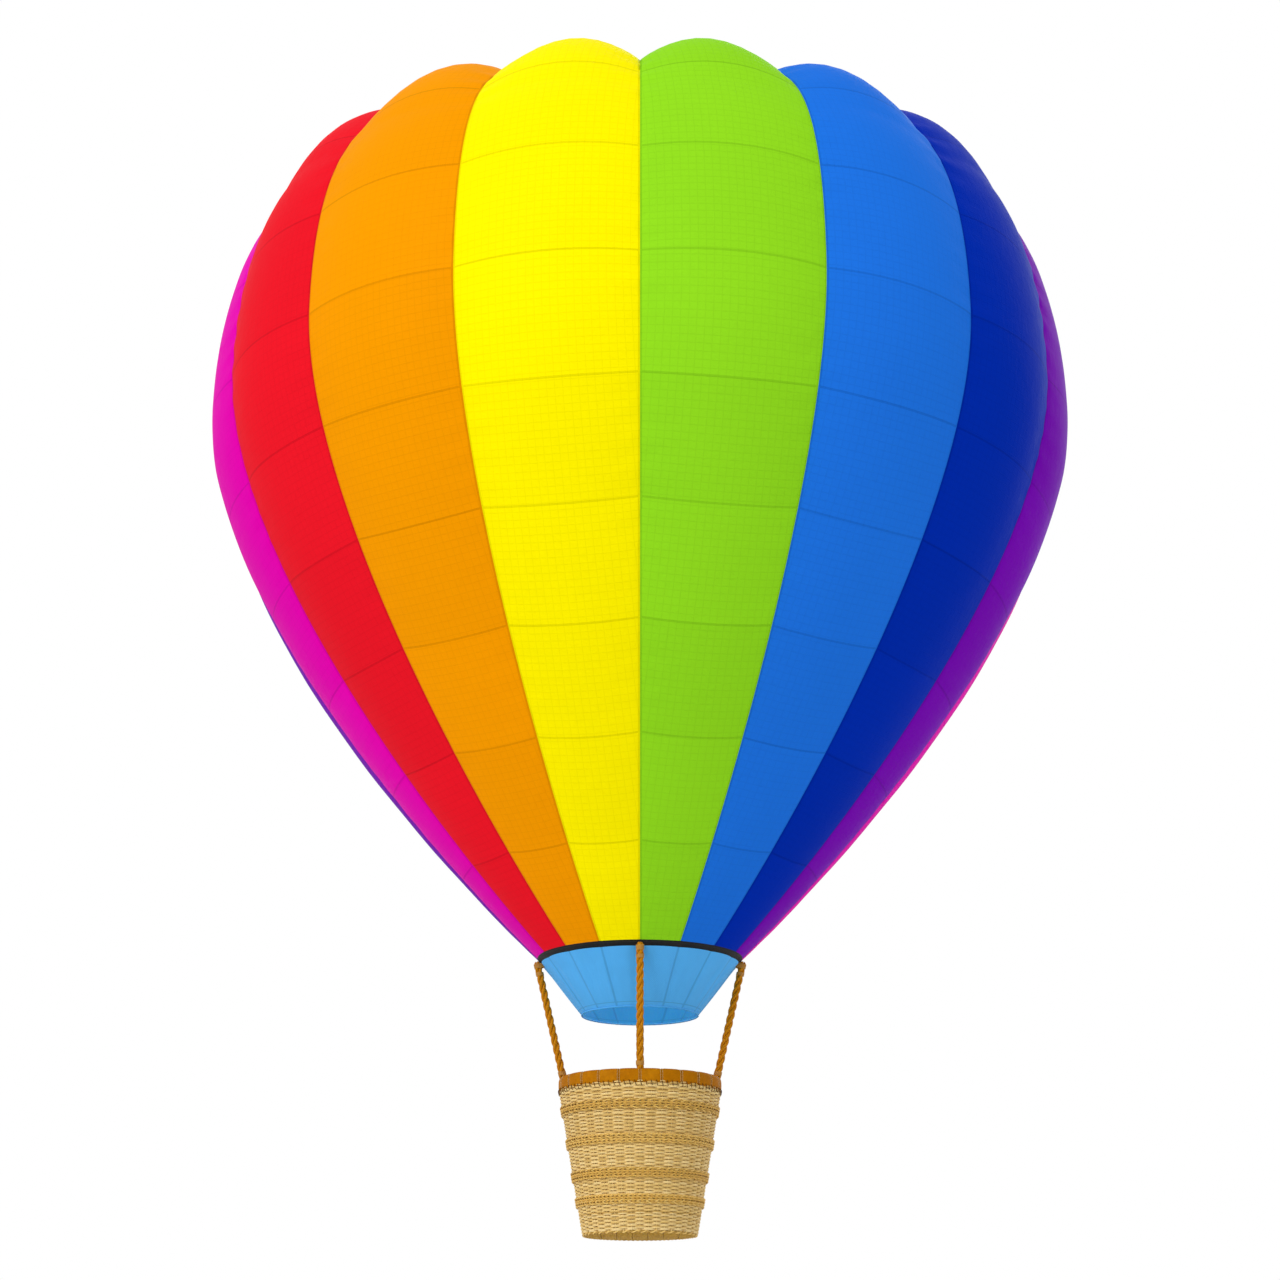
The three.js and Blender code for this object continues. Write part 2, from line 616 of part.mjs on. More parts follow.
function addFuelCylinders() {
  const floorZ = BASKET_BOTTOM_Z + FLOOR_THICKNESS + TOUCH_GAP;
  const strapZ = floorZ + STRAP_LEVEL;
  const wallFace = (basketRadius(strapZ) - WALL_THICKNESS) * facetShare - TOUCH_GAP;
  for (const [side, sign] of [['left', 1], ['right', -1]]) {
    const azimuth = Math.PI / 2 + sign * rad(CYLINDER_AZIMUTH_DEG);
    const stand = new THREE.Group();
    stand.position.set(Math.cos(azimuth) * CYLINDER_DISTANCE, Math.sin(azimuth) * CYLINDER_DISTANCE, floorZ);
    stand.rotation.z = azimuth;
    balloon.add(stand);
    addPiece(`fuel_cylinder_${side}`, turned(cylinderOutline(), CYLINDER_SIDES), aluminiumFinish, stand);
    const bracket = bracketGeometry(wallFace - CYLINDER_DISTANCE);
    const strap = addPiece(`fuel_strap_${side}`, bracket, leatherFinish, stand);
    strap.position.z = STRAP_LEVEL;
  }
}

addEnvelope();
addVent();
addCrownTapes();
addMouthBand();
addSkirt();
addRopes();
addRim();
addBasketWall();
addFloor();
addBraids();
addBurnerFrame();
addGimbalRing();
addBurner();
addFuelCylinders();

export default balloon;
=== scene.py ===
import math

import bmesh
import bpy
import numpy as np
from mathutils import Matrix, Vector


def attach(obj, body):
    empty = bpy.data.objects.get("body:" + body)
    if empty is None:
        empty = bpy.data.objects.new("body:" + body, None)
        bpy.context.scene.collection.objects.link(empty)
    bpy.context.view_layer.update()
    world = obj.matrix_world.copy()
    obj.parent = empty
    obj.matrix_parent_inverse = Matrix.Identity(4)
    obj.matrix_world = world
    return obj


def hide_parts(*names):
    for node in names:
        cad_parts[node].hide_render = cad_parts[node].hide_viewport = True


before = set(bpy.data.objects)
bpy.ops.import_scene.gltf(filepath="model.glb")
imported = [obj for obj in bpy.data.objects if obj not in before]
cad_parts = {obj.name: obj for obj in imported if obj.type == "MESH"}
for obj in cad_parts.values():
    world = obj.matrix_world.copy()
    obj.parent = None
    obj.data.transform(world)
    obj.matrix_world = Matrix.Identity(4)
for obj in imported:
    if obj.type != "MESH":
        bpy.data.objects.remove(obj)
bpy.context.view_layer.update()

# Envelope: radius and height of the seam's ends and joints, and its three curves, each from a point
# and slope to another, with the handles' lengths
GORES = 16
HALF_GORE = math.pi / GORES
MOUTH = (1.146, -6.372)
WIDEST = (5.0, 0.0)
SHOULDER = (2.248, 3.265)
OPENING = (1.5, 3.47)
MOUTH_SLOPE = 45.0
SEAM_CURVES = (
    (MOUTH, MOUTH_SLOPE, 2.22, WIDEST, 90.0, 2.026),
    (WIDEST, 90.0, 3.359, SHOULDER, 158.5, 0.994),
    (SHOULDER, 158.5, 0.25, OPENING, 172.0, 0.25),
)
CURVE_STEPS = 400
# Share of the way from the mouth to the shoulder, and a lobe's depth there over its width
LOBE_DEPTHS = ((0.0, 0.05), (0.3, 0.086), (0.55, 0.107), (0.78, 0.086), (1.0, 0.4))
OPENING_LOBE_DEPTH = 0.15
# Over this length above the mouth the lobes turn from level to square to the cloth
LEVEL_LOBE_LENGTH = 0.97
CLOTH_THICKNESS = 0.005
PANEL_HEIGHT = 1.25
PANEL_SWELL = 0.005
GORE_ROWS = 226
GORE_ACROSS = (0, 0.2, 0.4, 0.58, 0.74, 0.87, 0.96, 1)
SEAM_DIP = 0.004
SEAM_DIP_REACH = 0.012
PUCKER_LENGTH = 0.33
PUCKER_REACH = 0.08
PUCKER_DEPTH = 0.012
# Share of the way from the mouth to the opening, and how much of its depth a pucker has there
PUCKER_SHARES = ((0, 0.15), (0.25, 0.35), (0.6, 1), (0.92, 1), (1, 0.4))

# Tapes over the top opening, and the vent below them: its rise between the tapes and the depth of
# its gathers go by radius
CROWN_RISE = 0.06
TAPE_THICKNESS = 0.008
TAPE_WIDTH = 0.05
TAPE_OVERLAP = 0.09
TAPE_STITCH_OFFSET = 0.018
TAPE_STITCH_PITCH = 0.016
THREAD_RADIUS = 0.0016
CROWN_RING_RADIUS = 0.15
CROWN_RING_TUBE = 0.013
TAPE_LOOP_RADIUS = CROWN_RING_TUBE + 0.004
VENT_RADIUS = 1.7
VENT_DOME_RADIUS = 1.3
VENT_TAPE_GAP = 0.006
VENT_GORE_GAP = 0.007
VENT_RISE = ((0.4, 0), (0.9, 0.045), (1.5, 0.066), (VENT_RADIUS, 0.095))
VENT_GATHERS = ((0, 0), (0.6, 0.00125), (VENT_RADIUS, 0.004))

# Mouth band and skirt. The band's section: how far below the mouth, and there the depth of its face
# and of its back under the gores' face
BAND_WIDTH = 0.07
BAND_SECTION = (
    (BAND_WIDTH, -0.0005, 0.008),
    (0.066, -0.003, 0.01),
    (0.05, -0.004, 0.01),
    (0.03, -0.0045, 0.01),
    (0.01, -0.004, 0.01),
    (-0.006, -0.003, 0.009),
    (-0.01, -0.0015, 0.0075),
)
BAND_STITCH_ROWS = (0.012, 0.058)
BAND_STITCH_DEPTH = -0.0046
BAND_STITCH_PITCH = 0.022
MOUTH_LOBE_FADE = 0.22
SKIRT_MOUTH = (0.654, -6.993)
SKIRT_THICKNESS = 0.006
HOOP_TUBE = 0.009
HEM_SEAM = 0.05
# Rows of the skirt as shares of its length, close together beside the hem's seam
SKIRT_ROWS = (0, 0.025, 0.05, 0.062, 0.0692, 0.0765, 0.09, *np.linspace(0.12, 1, 19))

# Ropes: the axis runs from the foot in the rim to the head on the mouth band
ROPE_RADIUS = 0.0425
ROPE_FOOT = (0.85, -7.7)
ROPE_HEAD = (1.1517, -6.4272)
ROPE_IN_SOCKET = 0.081
ROPE_PAST_HEAD = ROPE_RADIUS * 0.85
ROPE_ROUNDING = 0.05
ROPE_LAY = 0.3
TWINE_RADIUS = 0.004
TWINE_PITCH = 0.0075
LASHING_REACH = 0.035

# Basket
BASKET_BOTTOM = (0.63, -9.4)
BASKET_TOP = (0.897, -7.8603)
WALL_THICKNESS = 0.038
WALL_PAST_TOP = 0.03
STAKES = 44
STAKE_RADIUS = 0.0069
ROD_RADIUS = 0.0062
ROD_HALF_HEIGHT = 0.0088
ROD_PITCH = 0.0092
FIRST_ROD = 0.034
PAIR_STEPS = 304
FOOT_ROD_RADIUS = 0.0085
FOOT_TWIST = 0.0075
FOOT_TURNS = 38
BRAID_LEVELS = (-8.073, -8.429, -8.781, -9.053)
BRAID_HEIGHT = 0.105
BRAID_ROWS = 4
BRAID_ROD_RADIUS = 0.0072
BRAID_TWIST = 0.0065
BRAID_REACH = 0.0045
FLOOR_THICKNESS = 0.03
FLOOR_BOARDS = 7
BOARD_GAP = 0.004
RIM_TOP = -7.7
RIM_HEIGHT = 0.16
RIM_OUTER = 0.902
RIM_WIDTH = 0.132
RIM_MIDDLE = (RIM_OUTER - RIM_WIDTH / 2, RIM_TOP - RIM_HEIGHT / 2)
RIM_PANELS = 24
RIM_SQUARENESS = 3.6
RIM_STITCH_GAP = 0.011
RIM_STITCH_PITCH = 0.017
RIM_THREAD_RADIUS = 0.0018
LACES = 96
LACE_RADIUS = 0.0035

# Burner: the frame, the gimbal's ring and the pins lie at one level
BURNER_Z = -7.8
FRAME_RADIUS = 0.38
FRAME_TUBE = 0.019
PAD = (0.01, 0.11, 0.076)
PAD_BOLTS = ((-0.04, -0.024), (-0.04, 0.024), (0.04, -0.024), (0.04, 0.024))
GIMBAL_RADIUS = 0.31
GIMBAL_TUBE = 0.014
PIN_RADIUS = 0.008
PIN_OVERLAP = 0.018
BOSS_RADIUS = 0.014
BLOCK = (0.34, 0.13, 0.06)
BLOCK_Z = BURNER_Z - 0.015
BLOCK_BOLTS = (-0.15, -0.05, 0.05, 0.15)
VALVE_SIZE = 0.062
VALVE_Z = BURNER_Z - 0.072
LEVER = (0.014, 0.1, 0.006)
LEVER_MIDDLE = -0.085
LEVER_Z = VALVE_Z + 0.005
LEVER_GRIP = 0.025
CAN_SPACING = 0.19
CAN_RADIUS = 0.085
CAN_HEIGHT = 0.185
CAN_SHEET = 0.003
CAN_FLOOR = 0.006
CAN_BOTTOM = BURNER_Z + 0.0153
COIL_RADIUS = 0.064
COIL_TUBE = 0.0065
COIL_START = 0.05
COIL_PITCH = 0.028
COIL_TURNS = 4
JET_RING_RADIUS = 0.036
JET_RING_LEVEL = 0.03
JETS = 12

# Fuel cylinders: each stands on the floor, to one side of the back, and is strapped to the wall
CYLINDER_RADIUS = 0.15
CYLINDER_HEIGHT = 0.86
CYLINDER_DISTANCE = 0.435
CYLINDER_TURN = 33.75
CYLINDER_FLOOR = BASKET_BOTTOM[1] + FLOOR_THICKNESS + 0.0003
KNUCKLE_RADIUS = 0.06
COLLAR_RADIUS = 0.095
COLLAR_TOP = CYLINDER_HEIGHT + 0.08
COLLAR_SHEET = 0.006
VALVE_ARM_LEVEL = CYLINDER_HEIGHT + 0.026
HANDWHEEL_RADIUS = 0.026
HANDWHEEL_LEVEL = CYLINDER_HEIGHT + 0.056
STRAP_LEVEL = 0.56
STRAP_WIDTH = 0.05
STRAP_THICKNESS = 0.006
STRAP_RADIUS = 0.1506
STRAP_HALF_GAP = 0.04
BUCKLE = (0.022, 0.034)

# Lathe pieces that are closed at their axis end this far from it, so that no face is without area
AXIS_GAP = 0.0005

# Camera, as the picture shows the balloon: from below, at floor level
CAMERA_PLACE = (0.0, -26.09, -11.24)
CAMERA_PITCH = 18.37
FOCAL_PIXELS = 2335
PICTURE_PIXELS = 1280
SENSOR = 36.0
FLOOR_Z = -11.3
FLOOR_RADIUS = 220


# Shader helpers

def linear(code):
    """The linear colour of an sRGB hex value."""
    shares = [int(code[i : i + 2], 16) / 255 for i in (1, 3, 5)]
    return [s / 12.92 if s <= 0.04045 else ((s + 0.055) / 1.055) ** 2.4 for s in shares] + [1.0]


def feed(node, inputs):
    """Sets a node's inputs, in order from a list or by name or number from a dict. Each takes a value,
    a socket or another node's first output."""
    for key, value in inputs.items() if isinstance(inputs, dict) else enumerate(inputs):
        if isinstance(value, bpy.types.Node):
            value = value.outputs[0]
        if isinstance(value, bpy.types.NodeSocket):
            node.id_data.links.new(value, node.inputs[key])
        else:
            node.inputs[key].default_value = value


def add(tree, kind, inputs=(), **settings):
    """Adds a node with its settings and its inputs."""
    node = tree.nodes.new("ShaderNode" + kind)
    for key, value in settings.items():
        setattr(node, key, value)
    feed(node, inputs)
    return node


def start(name, **values):
    """A new material: its node tree and its shader, with plain values on the shader's own sockets."""
    material = bpy.data.materials.new(name)
    material.use_nodes = True
    shader = material.node_tree.nodes["Principled BSDF"]
    feed(shader, {key.replace("_", " "): value for key, value in values.items()})
    return material, material.node_tree, shader


def pattern_parts(tree):
    """The piece's own pattern coordinates: a vector, and its three numbers."""
    pattern = add(tree, "Attribute", attribute_name="pattern").outputs["Vector"]
    return pattern, *add(tree, "SeparateXYZ", [pattern]).outputs


def shaded(tree, colour, pattern, low, high, begin=0.0, end=1.0):
    """A colour times a share, which goes from low to high as a pattern goes from begin to end."""
    share = add(tree, "MapRange", [pattern, begin, end, low, high])
    return add(tree, "MixRGB", {"Fac": 1.0, "Color1": colour, "Color2": share}, blend_type="MULTIPLY")


def lines_at(tree, way, spacing, half_width):
    """1 on the lines that cross a way at an even spacing, and 0 between them."""
    place = add(tree, "Math", [way, spacing / 2], operation="PINGPONG")
    return add(tree, "Math", [place, half_width], operation="LESS_THAN")


def ribs(tree, way, spacing):
    """A wave along a way, from -1 to 1 and back in each spacing."""
    turns = add(tree, "Math", [way, 2 * math.pi / spacing], operation="MULTIPLY")
    return add(tree, "Math", [turns], operation="SINE")


def set_stops(ramp, first, *between, last):
    """Gives a ramp its colours, each a place and a hex value."""
    stops = ramp.color_ramp.elements
    for stop, (place, code) in zip(list(stops), (first, last)):
        stop.position = place
        stop.color = linear(code)
    for place, code in between:
        stops.new(place).color = linear(code)


# Finishes. A noise's scale is the number of its clouds to a metre

def coated_nylon(name, colour):
    """Ripstop nylon, woven and then coated: a satin face with a faint net of thicker threads, fine
    creases, and a darker band where panels are felled together."""
    material, tree, shader = start(name, IOR=1.53, Roughness=0.5, Specular_IOR_Level=0.005)
    pattern, across, along, to_seam = pattern_parts(tree)
    # The net is 8 mm in real cloth and is drawn ten times coarser, or it would not show
    nets = [lines_at(tree, way, 0.08, 0.0035) for way in (across, along)]
    net = add(tree, "Math", nets, operation="MAXIMUM")
    # Felled seams, about 20 mm wide, between the panels and down both sides of the gore
    fell = lines_at(tree, along, PANEL_HEIGHT, 0.011)
    edge = add(tree, "Math", [to_seam, 0.02], operation="LESS_THAN")
    seam = add(tree, "Math", [fell, edge], operation="MAXIMUM")
    # Each panel is cut from its own length of cloth, numbered from 400 on, so its dye is a little
    # off the next one's
    shifted = add(tree, "Math", [along, PANEL_HEIGHT * 400], operation="ADD")
    panels = add(tree, "Math", [shifted, PANEL_HEIGHT], operation="DIVIDE")
    number = add(tree, "Math", [panels], operation="FLOOR")
    batch = add(tree, "TexWhiteNoise", {"W": number}, noise_dimensions="1D")
    mottle = add(tree, "TexNoise", {"Vector": pattern, "Scale": 0.9, "Detail": 3.0})
    dye = add(tree, "MixRGB", {"Fac": 0.5, "Color1": batch, "Color2": mottle})
    tone = shaded(tree, linear(colour), dye, 0.93, 1.04)
    tone = shaded(tree, tone, net, 1.0, 0.95)
    tone = shaded(tree, tone, seam, 1.0, 0.84)
    # Handling leaves the coat finely crinkled, with creases 100 to 200 mm apart
    crinkle = add(tree, "TexNoise", {"Vector": pattern, "Scale": 7.0, "Detail": 4.0, "Distortion": 0.6})
    gloss = add(tree, "MapRange", {0: crinkle, 3: 0.4, 4: 0.54})
    soft = add(tree, "Bump", {"Height": crinkle, "Strength": 0.35, "Distance": 0.012})
    raised = add(tree, "Math", [seam, 2.0, net], operation="MULTIPLY_ADD")
    proud = add(tree, "Bump", {"Height": raised, "Strength": 0.6, "Distance": 0.0015, "Normal": soft})
    feed(shader, {"Base Color": tone, "Roughness": gloss, "Normal": proud})
    return material


def aramid_cloth(name, colour):
    """Heat-proof aramid, plain woven: matte, with the weave's small squares and a slight bloom."""
    material, tree, shader = start(name, IOR=1.5, Roughness=0.78, Specular_IOR_Level=0.1, Sheen_Weight=0.05)
    pattern, across, along, to_seam = pattern_parts(tree)
    # Threads 1 mm apart, drawn 12 mm apart
    weave = [ribs(tree, way, 0.024) for way in (across, along)]
    crossing = add(tree, "Math", weave, operation="MULTIPLY")
    sewn = add(tree, "Math", [to_seam, 0.012], operation="LESS_THAN")
    mottle = add(tree, "TexNoise", {"Vector": pattern, "Scale": 3.0, "Detail": 5.0})
    tone = shaded(tree, linear(colour), mottle, 0.9, 1.06)
    tone = shaded(tree, tone, crossing, 0.94, 1.03, begin=-1.0)
    tone = shaded(tree, tone, sewn, 1.0, 0.8)
    proud = add(tree, "Bump", {"Height": crossing, "Strength": 0.5, "Distance": 0.0012})
    soft = add(tree, "Bump", {"Height": mottle, "Strength": 0.3, "Distance": 0.01, "Normal": proud})
    feed(shader, {"Base Color": tone, "Normal": soft})
    return material


def polyester_webbing(name, colour, worn):
    """Polyester webbing, woven in a herringbone: tight slanting ribs with a dull shine on them, and
    a worn grey on the ribs' backs."""
    material, tree, shader = start(name, IOR=1.57, Roughness=0.65, Specular_IOR_Level=0.2)
    pattern, across, along, _ = pattern_parts(tree)
    # Ribs 3 mm apart, drawn 9 mm apart, turning back every 25 mm
    back = add(tree, "Math", [along, 0.025], operation="PINGPONG")
    slant = add(tree, "Math", [across, back], operation="ADD")
    rib = ribs(tree, slant, 0.009)
    share = add(tree, "MapRange", [rib, -1.0, 1.0])
    rubbed = add(tree, "TexNoise", {"Vector": pattern, "Scale": 14.0, "Detail": 4.0})
    light = add(tree, "Math", [share, rubbed], operation="MULTIPLY")
    tone = add(tree, "MixRGB", {"Fac": light, "Color1": linear(colour), "Color2": linear(worn)})
    proud = add(tree, "Bump", {"Height": rib, "Strength": 0.7, "Distance": 0.0012})
    feed(shader, {"Base Color": tone, "Normal": proud})
    return material


def manila_rope(name, dark, middle, light):
    """Manila, hard laid in three strands: dry fibre with slanting yarns, paler on the yarns' backs."""
    material, tree, shader = start(name, IOR=1.5, Roughness=0.82, Specular_IOR_Level=0.06, Sheen_Weight=0.03)
    pattern, along, around, _ = pattern_parts(tree)
    # Yarns 6 mm thick, drawn 17 mm thick, six round a strand and wound the other way from the strands
    wound = add(tree, "Math", [along, 2 * math.pi / 0.03], operation="MULTIPLY")
    turns = add(tree, "Math", [around, 2 * math.pi * 6, wound], operation="MULTIPLY_ADD")
    yarn = add(tree, "Math", [turns], operation="SINE")
    stretch = add(tree, "Mapping", {"Vector": pattern, "Scale": (18.0, 40.0, 3.0)})
    fibre = add(tree, "TexNoise", {"Vector": stretch, "Scale": 3.0, "Detail": 6.0, "Roughness": 0.7})
    mixed = add(tree, "Math", [yarn, 0.12, fibre], operation="MULTIPLY_ADD")
    tone = add(tree, "ValToRGB", [mixed])
    set_stops(tone, (0.25, dark), (0.5, middle), last=(0.75, light))
    proud = add(tree, "Bump", {"Height": mixed, "Strength": 0.8, "Distance": 0.003})
    feed(shader, {"Base Color": tone, "Normal": proud})
    return material


def split_cowhide(name, colour, rubbed):
    """Split cowhide, drum dyed and oiled: a close pebbled grain, creases, and patches rubbed paler."""
    material, tree, shader = start(name, IOR=1.5, Roughness=0.6, Specular_IOR_Level=0.035)
    *_, to_seam = pattern_parts(tree)
    place = add(tree, "TexCoord").outputs["Object"]
    # Pebbles 2 mm across, drawn 9 mm across
    pebble = add(tree, "TexVoronoi", {"Vector": place, "Scale": 110.0}, feature="SMOOTH_F1")
    crease = add(tree, "TexNoise", {"Vector": place, "Scale": 16.0, "Detail": 8.0, "Roughness": 0.65})
    wear = add(tree, "TexNoise", {"Vector": place, "Scale": 3.5, "Detail": 4.0})
    rub = add(tree, "MapRange", [wear, 0.45, 0.75, 0.0, 0.65])
    tone = add(tree, "MixRGB", {"Fac": rub, "Color1": linear(colour), "Color2": linear(rubbed)})
    tone = shaded(tree, tone, crease, 0.84, 1.08, 0.3, 0.7)
    # Darker within 22 mm of a seam
    tone = shaded(tree, tone, to_seam, 0.62, 1.0, end=0.022)
    gloss = add(tree, "MapRange", {0: wear, 3: 0.66, 4: 0.46})
    fine = add(tree, "Bump", {"Height": pebble, "Strength": 0.35, "Distance": 0.0015})
    deep = add(tree, "Bump", {"Height": crease, "Strength": 0.45, "Distance": 0.004, "Normal": fine})
    feed(shader, {"Base Color": tone, "Roughness": gloss, "Normal": deep})
    return material


def peeled_willow(name, dark, middle, light):
    """Willow rods, boiled, peeled and woven wet: smooth round wood, each rod its own buff, with long
    streaks and a darker ring at each bud."""
    material, tree, shader = start(name, IOR=1.5, Roughness=0.55, Specular_IOR_Level=0.3)
    pattern, along, _, rod = pattern_parts(tree)
    # Streaks 80 mm long, eight round a rod, at another place on each rod
    stretch = add(tree, "Mapping", {"Vector": pattern, "Scale": (6.0, 4.0, 31.0)})
    streak = add(tree, "TexNoise", {"Vector": stretch, "Scale": 2.0, "Detail": 5.0, "Roughness": 0.6})
    own = add(tree, "TexWhiteNoise", {"W": rod}, noise_dimensions="1D")
    share = add(tree, "MixRGB", {"Fac": 0.45, "Color1": own, "Color2": streak})
    buff = add(tree, "ValToRGB", [share])
    set_stops(buff, (0.18, dark), (0.48, middle), last=(0.8, light))
    # Buds 400 mm apart, at their own place on each rod
    shifted = add(tree, "Math", [own, 0.4, along], operation="MULTIPLY_ADD")
    bud = lines_at(tree, shifted, 0.4, 0.004)
    tone = shaded(tree, buff, bud, 1.0, 0.62)
    gloss = add(tree, "MapRange", {0: streak, 3: 0.48, 4: 0.66})
    proud = add(tree, "Bump", {"Height": streak, "Strength": 0.4, "Distance": 0.0015})
    feed(shader, {"Base Color": tone, "Roughness": gloss, "Normal": proud})
    return material


def oiled_board(name, dark, light):
    """Softwood board, sawn and oiled: long wandering grain and a dull oiled face."""
    material, tree, shader = start(name, IOR=1.5, Roughness=0.75, Specular_IOR_Level=0.04)
    pattern = add(tree, "Attribute", attribute_name="pattern").outputs["Vector"]
    # Growth lines 13 mm apart across the board, drawn out 20 times along it
    stretch = add(tree, "Mapping", {"Vector": pattern, "Scale": (1.2, 26.0, 7.0)})
    line = add(tree, "TexNoise", {"Vector": stretch, "Scale": 3.0, "Detail": 6.0, "Distortion": 0.8})
    tone = add(tree, "ValToRGB", [line])
    set_stops(tone, (0.32, dark), last=(0.68, light))
    proud = add(tree, "Bump", {"Height": line, "Strength": 0.4, "Distance": 0.001})
    feed(shader, {"Base Color": tone, "Normal": proud})
    return material


def brushed_stainless(name, colour, heat=None):
    """Stainless steel, brushed: fine lines one way and broken highlights. Near a flame it turns
    straw and then blue, so heat gives the level where that starts and the level where it ends."""
    material, tree, shader = start(name, Metallic=1.0, Roughness=0.32)
    place = add(tree, "TexCoord").outputs["Object"]
    # Brush lines a tenth of a millimetre wide, drawn 2 mm wide
    stretch = add(tree, "Mapping", {"Vector": place, "Scale": (6.0, 6.0, 500.0)})
    line = add(tree, "TexNoise", {"Vector": stretch, "Scale": 1.0, "Detail": 3.0})
    smear = add(tree, "TexNoise", {"Vector": place, "Scale": 9.0, "Detail": 3.0})
    tone = shaded(tree, linear(colour), line, 0.84, 1.08)
    if heat:
        level = add(tree, "SeparateXYZ", [place]).outputs["Z"]
        wavy = add(tree, "Math", [smear, 0.04, level], operation="MULTIPLY_ADD")
        share = add(tree, "MapRange", [wavy, heat[0], heat[1]])
        tint = add(tree, "ValToRGB", [share])
        set_stops(tint, (0.0, "#ffffff"), (0.45, "#e2bd7a"), (0.7, "#9a5f8c"), last=(1.0, "#5f6f9e"))
        tone = add(tree, "MixRGB", {"Fac": 0.9, "Color1": tone, "Color2": tint}, blend_type="MULTIPLY")
    gloss = add(tree, "MapRange", {0: smear, 3: 0.24, 4: 0.42})
    proud = add(tree, "Bump", {"Height": line, "Strength": 0.25, "Distance": 0.0006})
    feed(shader, {"Base Color": tone, "Roughness": gloss, "Normal": proud})
    return material


def spun_aluminium(name, colour):
    """Aluminium, spun on a lathe: rings round the axis, a soft grey shine and a few handling marks."""
    material, tree, shader = start(name, Metallic=1.0, Roughness=0.4)
    place = add(tree, "TexCoord").outputs["Object"]
    # Tool rings 1 mm apart, drawn 4 mm apart
    ring = ribs(tree, add(tree, "SeparateXYZ", [place]).outputs["Z"], 0.004)
    mark = add(tree, "TexNoise", {"Vector": place, "Scale": 22.0, "Detail": 6.0, "Roughness": 0.7})
    tone = shaded(tree, linear(colour), mark, 0.82, 1.04, 0.3, 0.7)
    gloss = add(tree, "MapRange", {0: mark, 3: 0.5, 4: 0.3})
    proud = add(tree, "Bump", {"Height": ring, "Strength": 0.2, "Distance": 0.0005})
    feed(shader, {"Base Color": tone, "Roughness": gloss, "Normal": proud})
    return material


def cast_brass(name, colour):
    """Brass, cast and tumbled: warm metal, dull in the hollows."""
    material, tree, shader = start(name, Metallic=1.0, Roughness=0.35)
    place = add(tree, "TexCoord").outputs["Object"]
    # Hollows 17 mm across
    cloud = add(tree, "TexNoise", {"Vector": place, "Scale": 60.0, "Detail": 4.0})
    tone = shaded(tree, linear(colour), cloud, 0.7, 1.05, 0.3, 0.7)
    gloss = add(tree, "MapRange", {0: cloud, 3: 0.5, 4: 0.25})
    feed(shader, {"Base Color": tone, "Roughness": gloss})
    return material


def waxed_thread(name, colour):
    """Linen thread, waxed: a tight twist with a low shine."""
    material, tree, shader = start(name, IOR=1.5, Roughness=0.6)
    place = add(tree, "TexCoord").outputs["Object"]
    # Turns of the twist 1 mm apart, drawn 5 mm apart
    twist = add(tree, "TexNoise", {"Vector": place, "Scale": 180.0, "Detail": 2.0})
    tone = shaded(tree, linear(colour), twist, 0.75, 1.1, 0.3, 0.7)
    proud = add(tree, "Bump", {"Height": twist, "Strength": 0.5, "Distance": 0.001})
    feed(shader, {"Base Color": tone, "Normal": proud})
    return material


def moulded_nylon(name, colour):
    """Glass-filled nylon, moulded and spark-grained: an even colour, a close dull grain, a soft shine."""
    material, tree, shader = start(name, IOR=1.53, Roughness=0.5, Specular_IOR_Level=0.4)
    place = add(tree, "TexCoord").outputs["Object"]
    # Grains 0.3 mm across, drawn 1.5 mm across
    grain = add(tree, "TexVoronoi", {"Vector": place, "Scale": 650.0})
    handled = add(tree, "TexNoise", {"Vector": place, "Scale": 30.0, "Detail": 3.0})
    tone = shaded(tree, linear(colour), handled, 0.9, 1.06, 0.3, 0.7)
    gloss = add(tree, "MapRange", {0: handled, 3: 0.58, 4: 0.4})
    proud = add(tree, "Bump", {"Height": grain, "Strength": 0.3, "Distance": 0.0005})
    feed(shader, {"Base Color": tone, "Roughness": gloss, "Normal": proud})
    return material


def painted_floor(name, colour):
    """Studio floor, rolled with matt paint: even and dull, with faint clouds three metres across."""
    material, tree, shader = start(name, IOR=1.5, Roughness=0.9, Specular_IOR_Level=0.1)
    place = add(tree, "TexCoord").outputs["Object"]
    cloud = add(tree, "TexNoise", {"Vector": place, "Scale": 0.3, "Detail": 3.0})
    feed(shader, {"Base Color": shaded(tree, linear(colour), cloud, 0.98, 1.02)})
    return material


# Points and places

def xyz(x, y, z):
    """Points, or pattern vectors, from three arrays or numbers that fit each other."""
    return np.stack(np.broadcast_arrays(x, y, z), -1)


def polar(radius, azimuth, level):
    """Points from a radius, an azimuth measured from the front towards +X, and a height."""
    return xyz(radius * np.sin(azimuth), -radius * np.cos(azimuth), level)


def full_turn(count):
    """Even angles all the way round."""
    return 2 * math.pi * np.arange(count) / count


def heading(degrees):
    """One step outwards and up, at a slope."""
    return np.array([math.cos(math.radians(degrees)), math.sin(math.radians(degrees))])


def walked(path):
    """How far along a path each of its points lies."""
    return np.concatenate([[0], np.cumsum(np.linalg.norm(np.diff(path, axis=0), axis=1))])


def read_off(table, places):
    """Values at places, read off a table whose rows are a place and its value."""
    return np.interp(places, *np.transpose(table))


def facing(place, direction):
    """The matrix that takes the origin to a place and +Z to a direction."""
    return Matrix.Translation(place) @ Vector(direction).to_track_quat("Z", "Y").to_matrix().to_4x4()


# Mesh helpers. A part is its points, its faces, and a pattern vector for each point

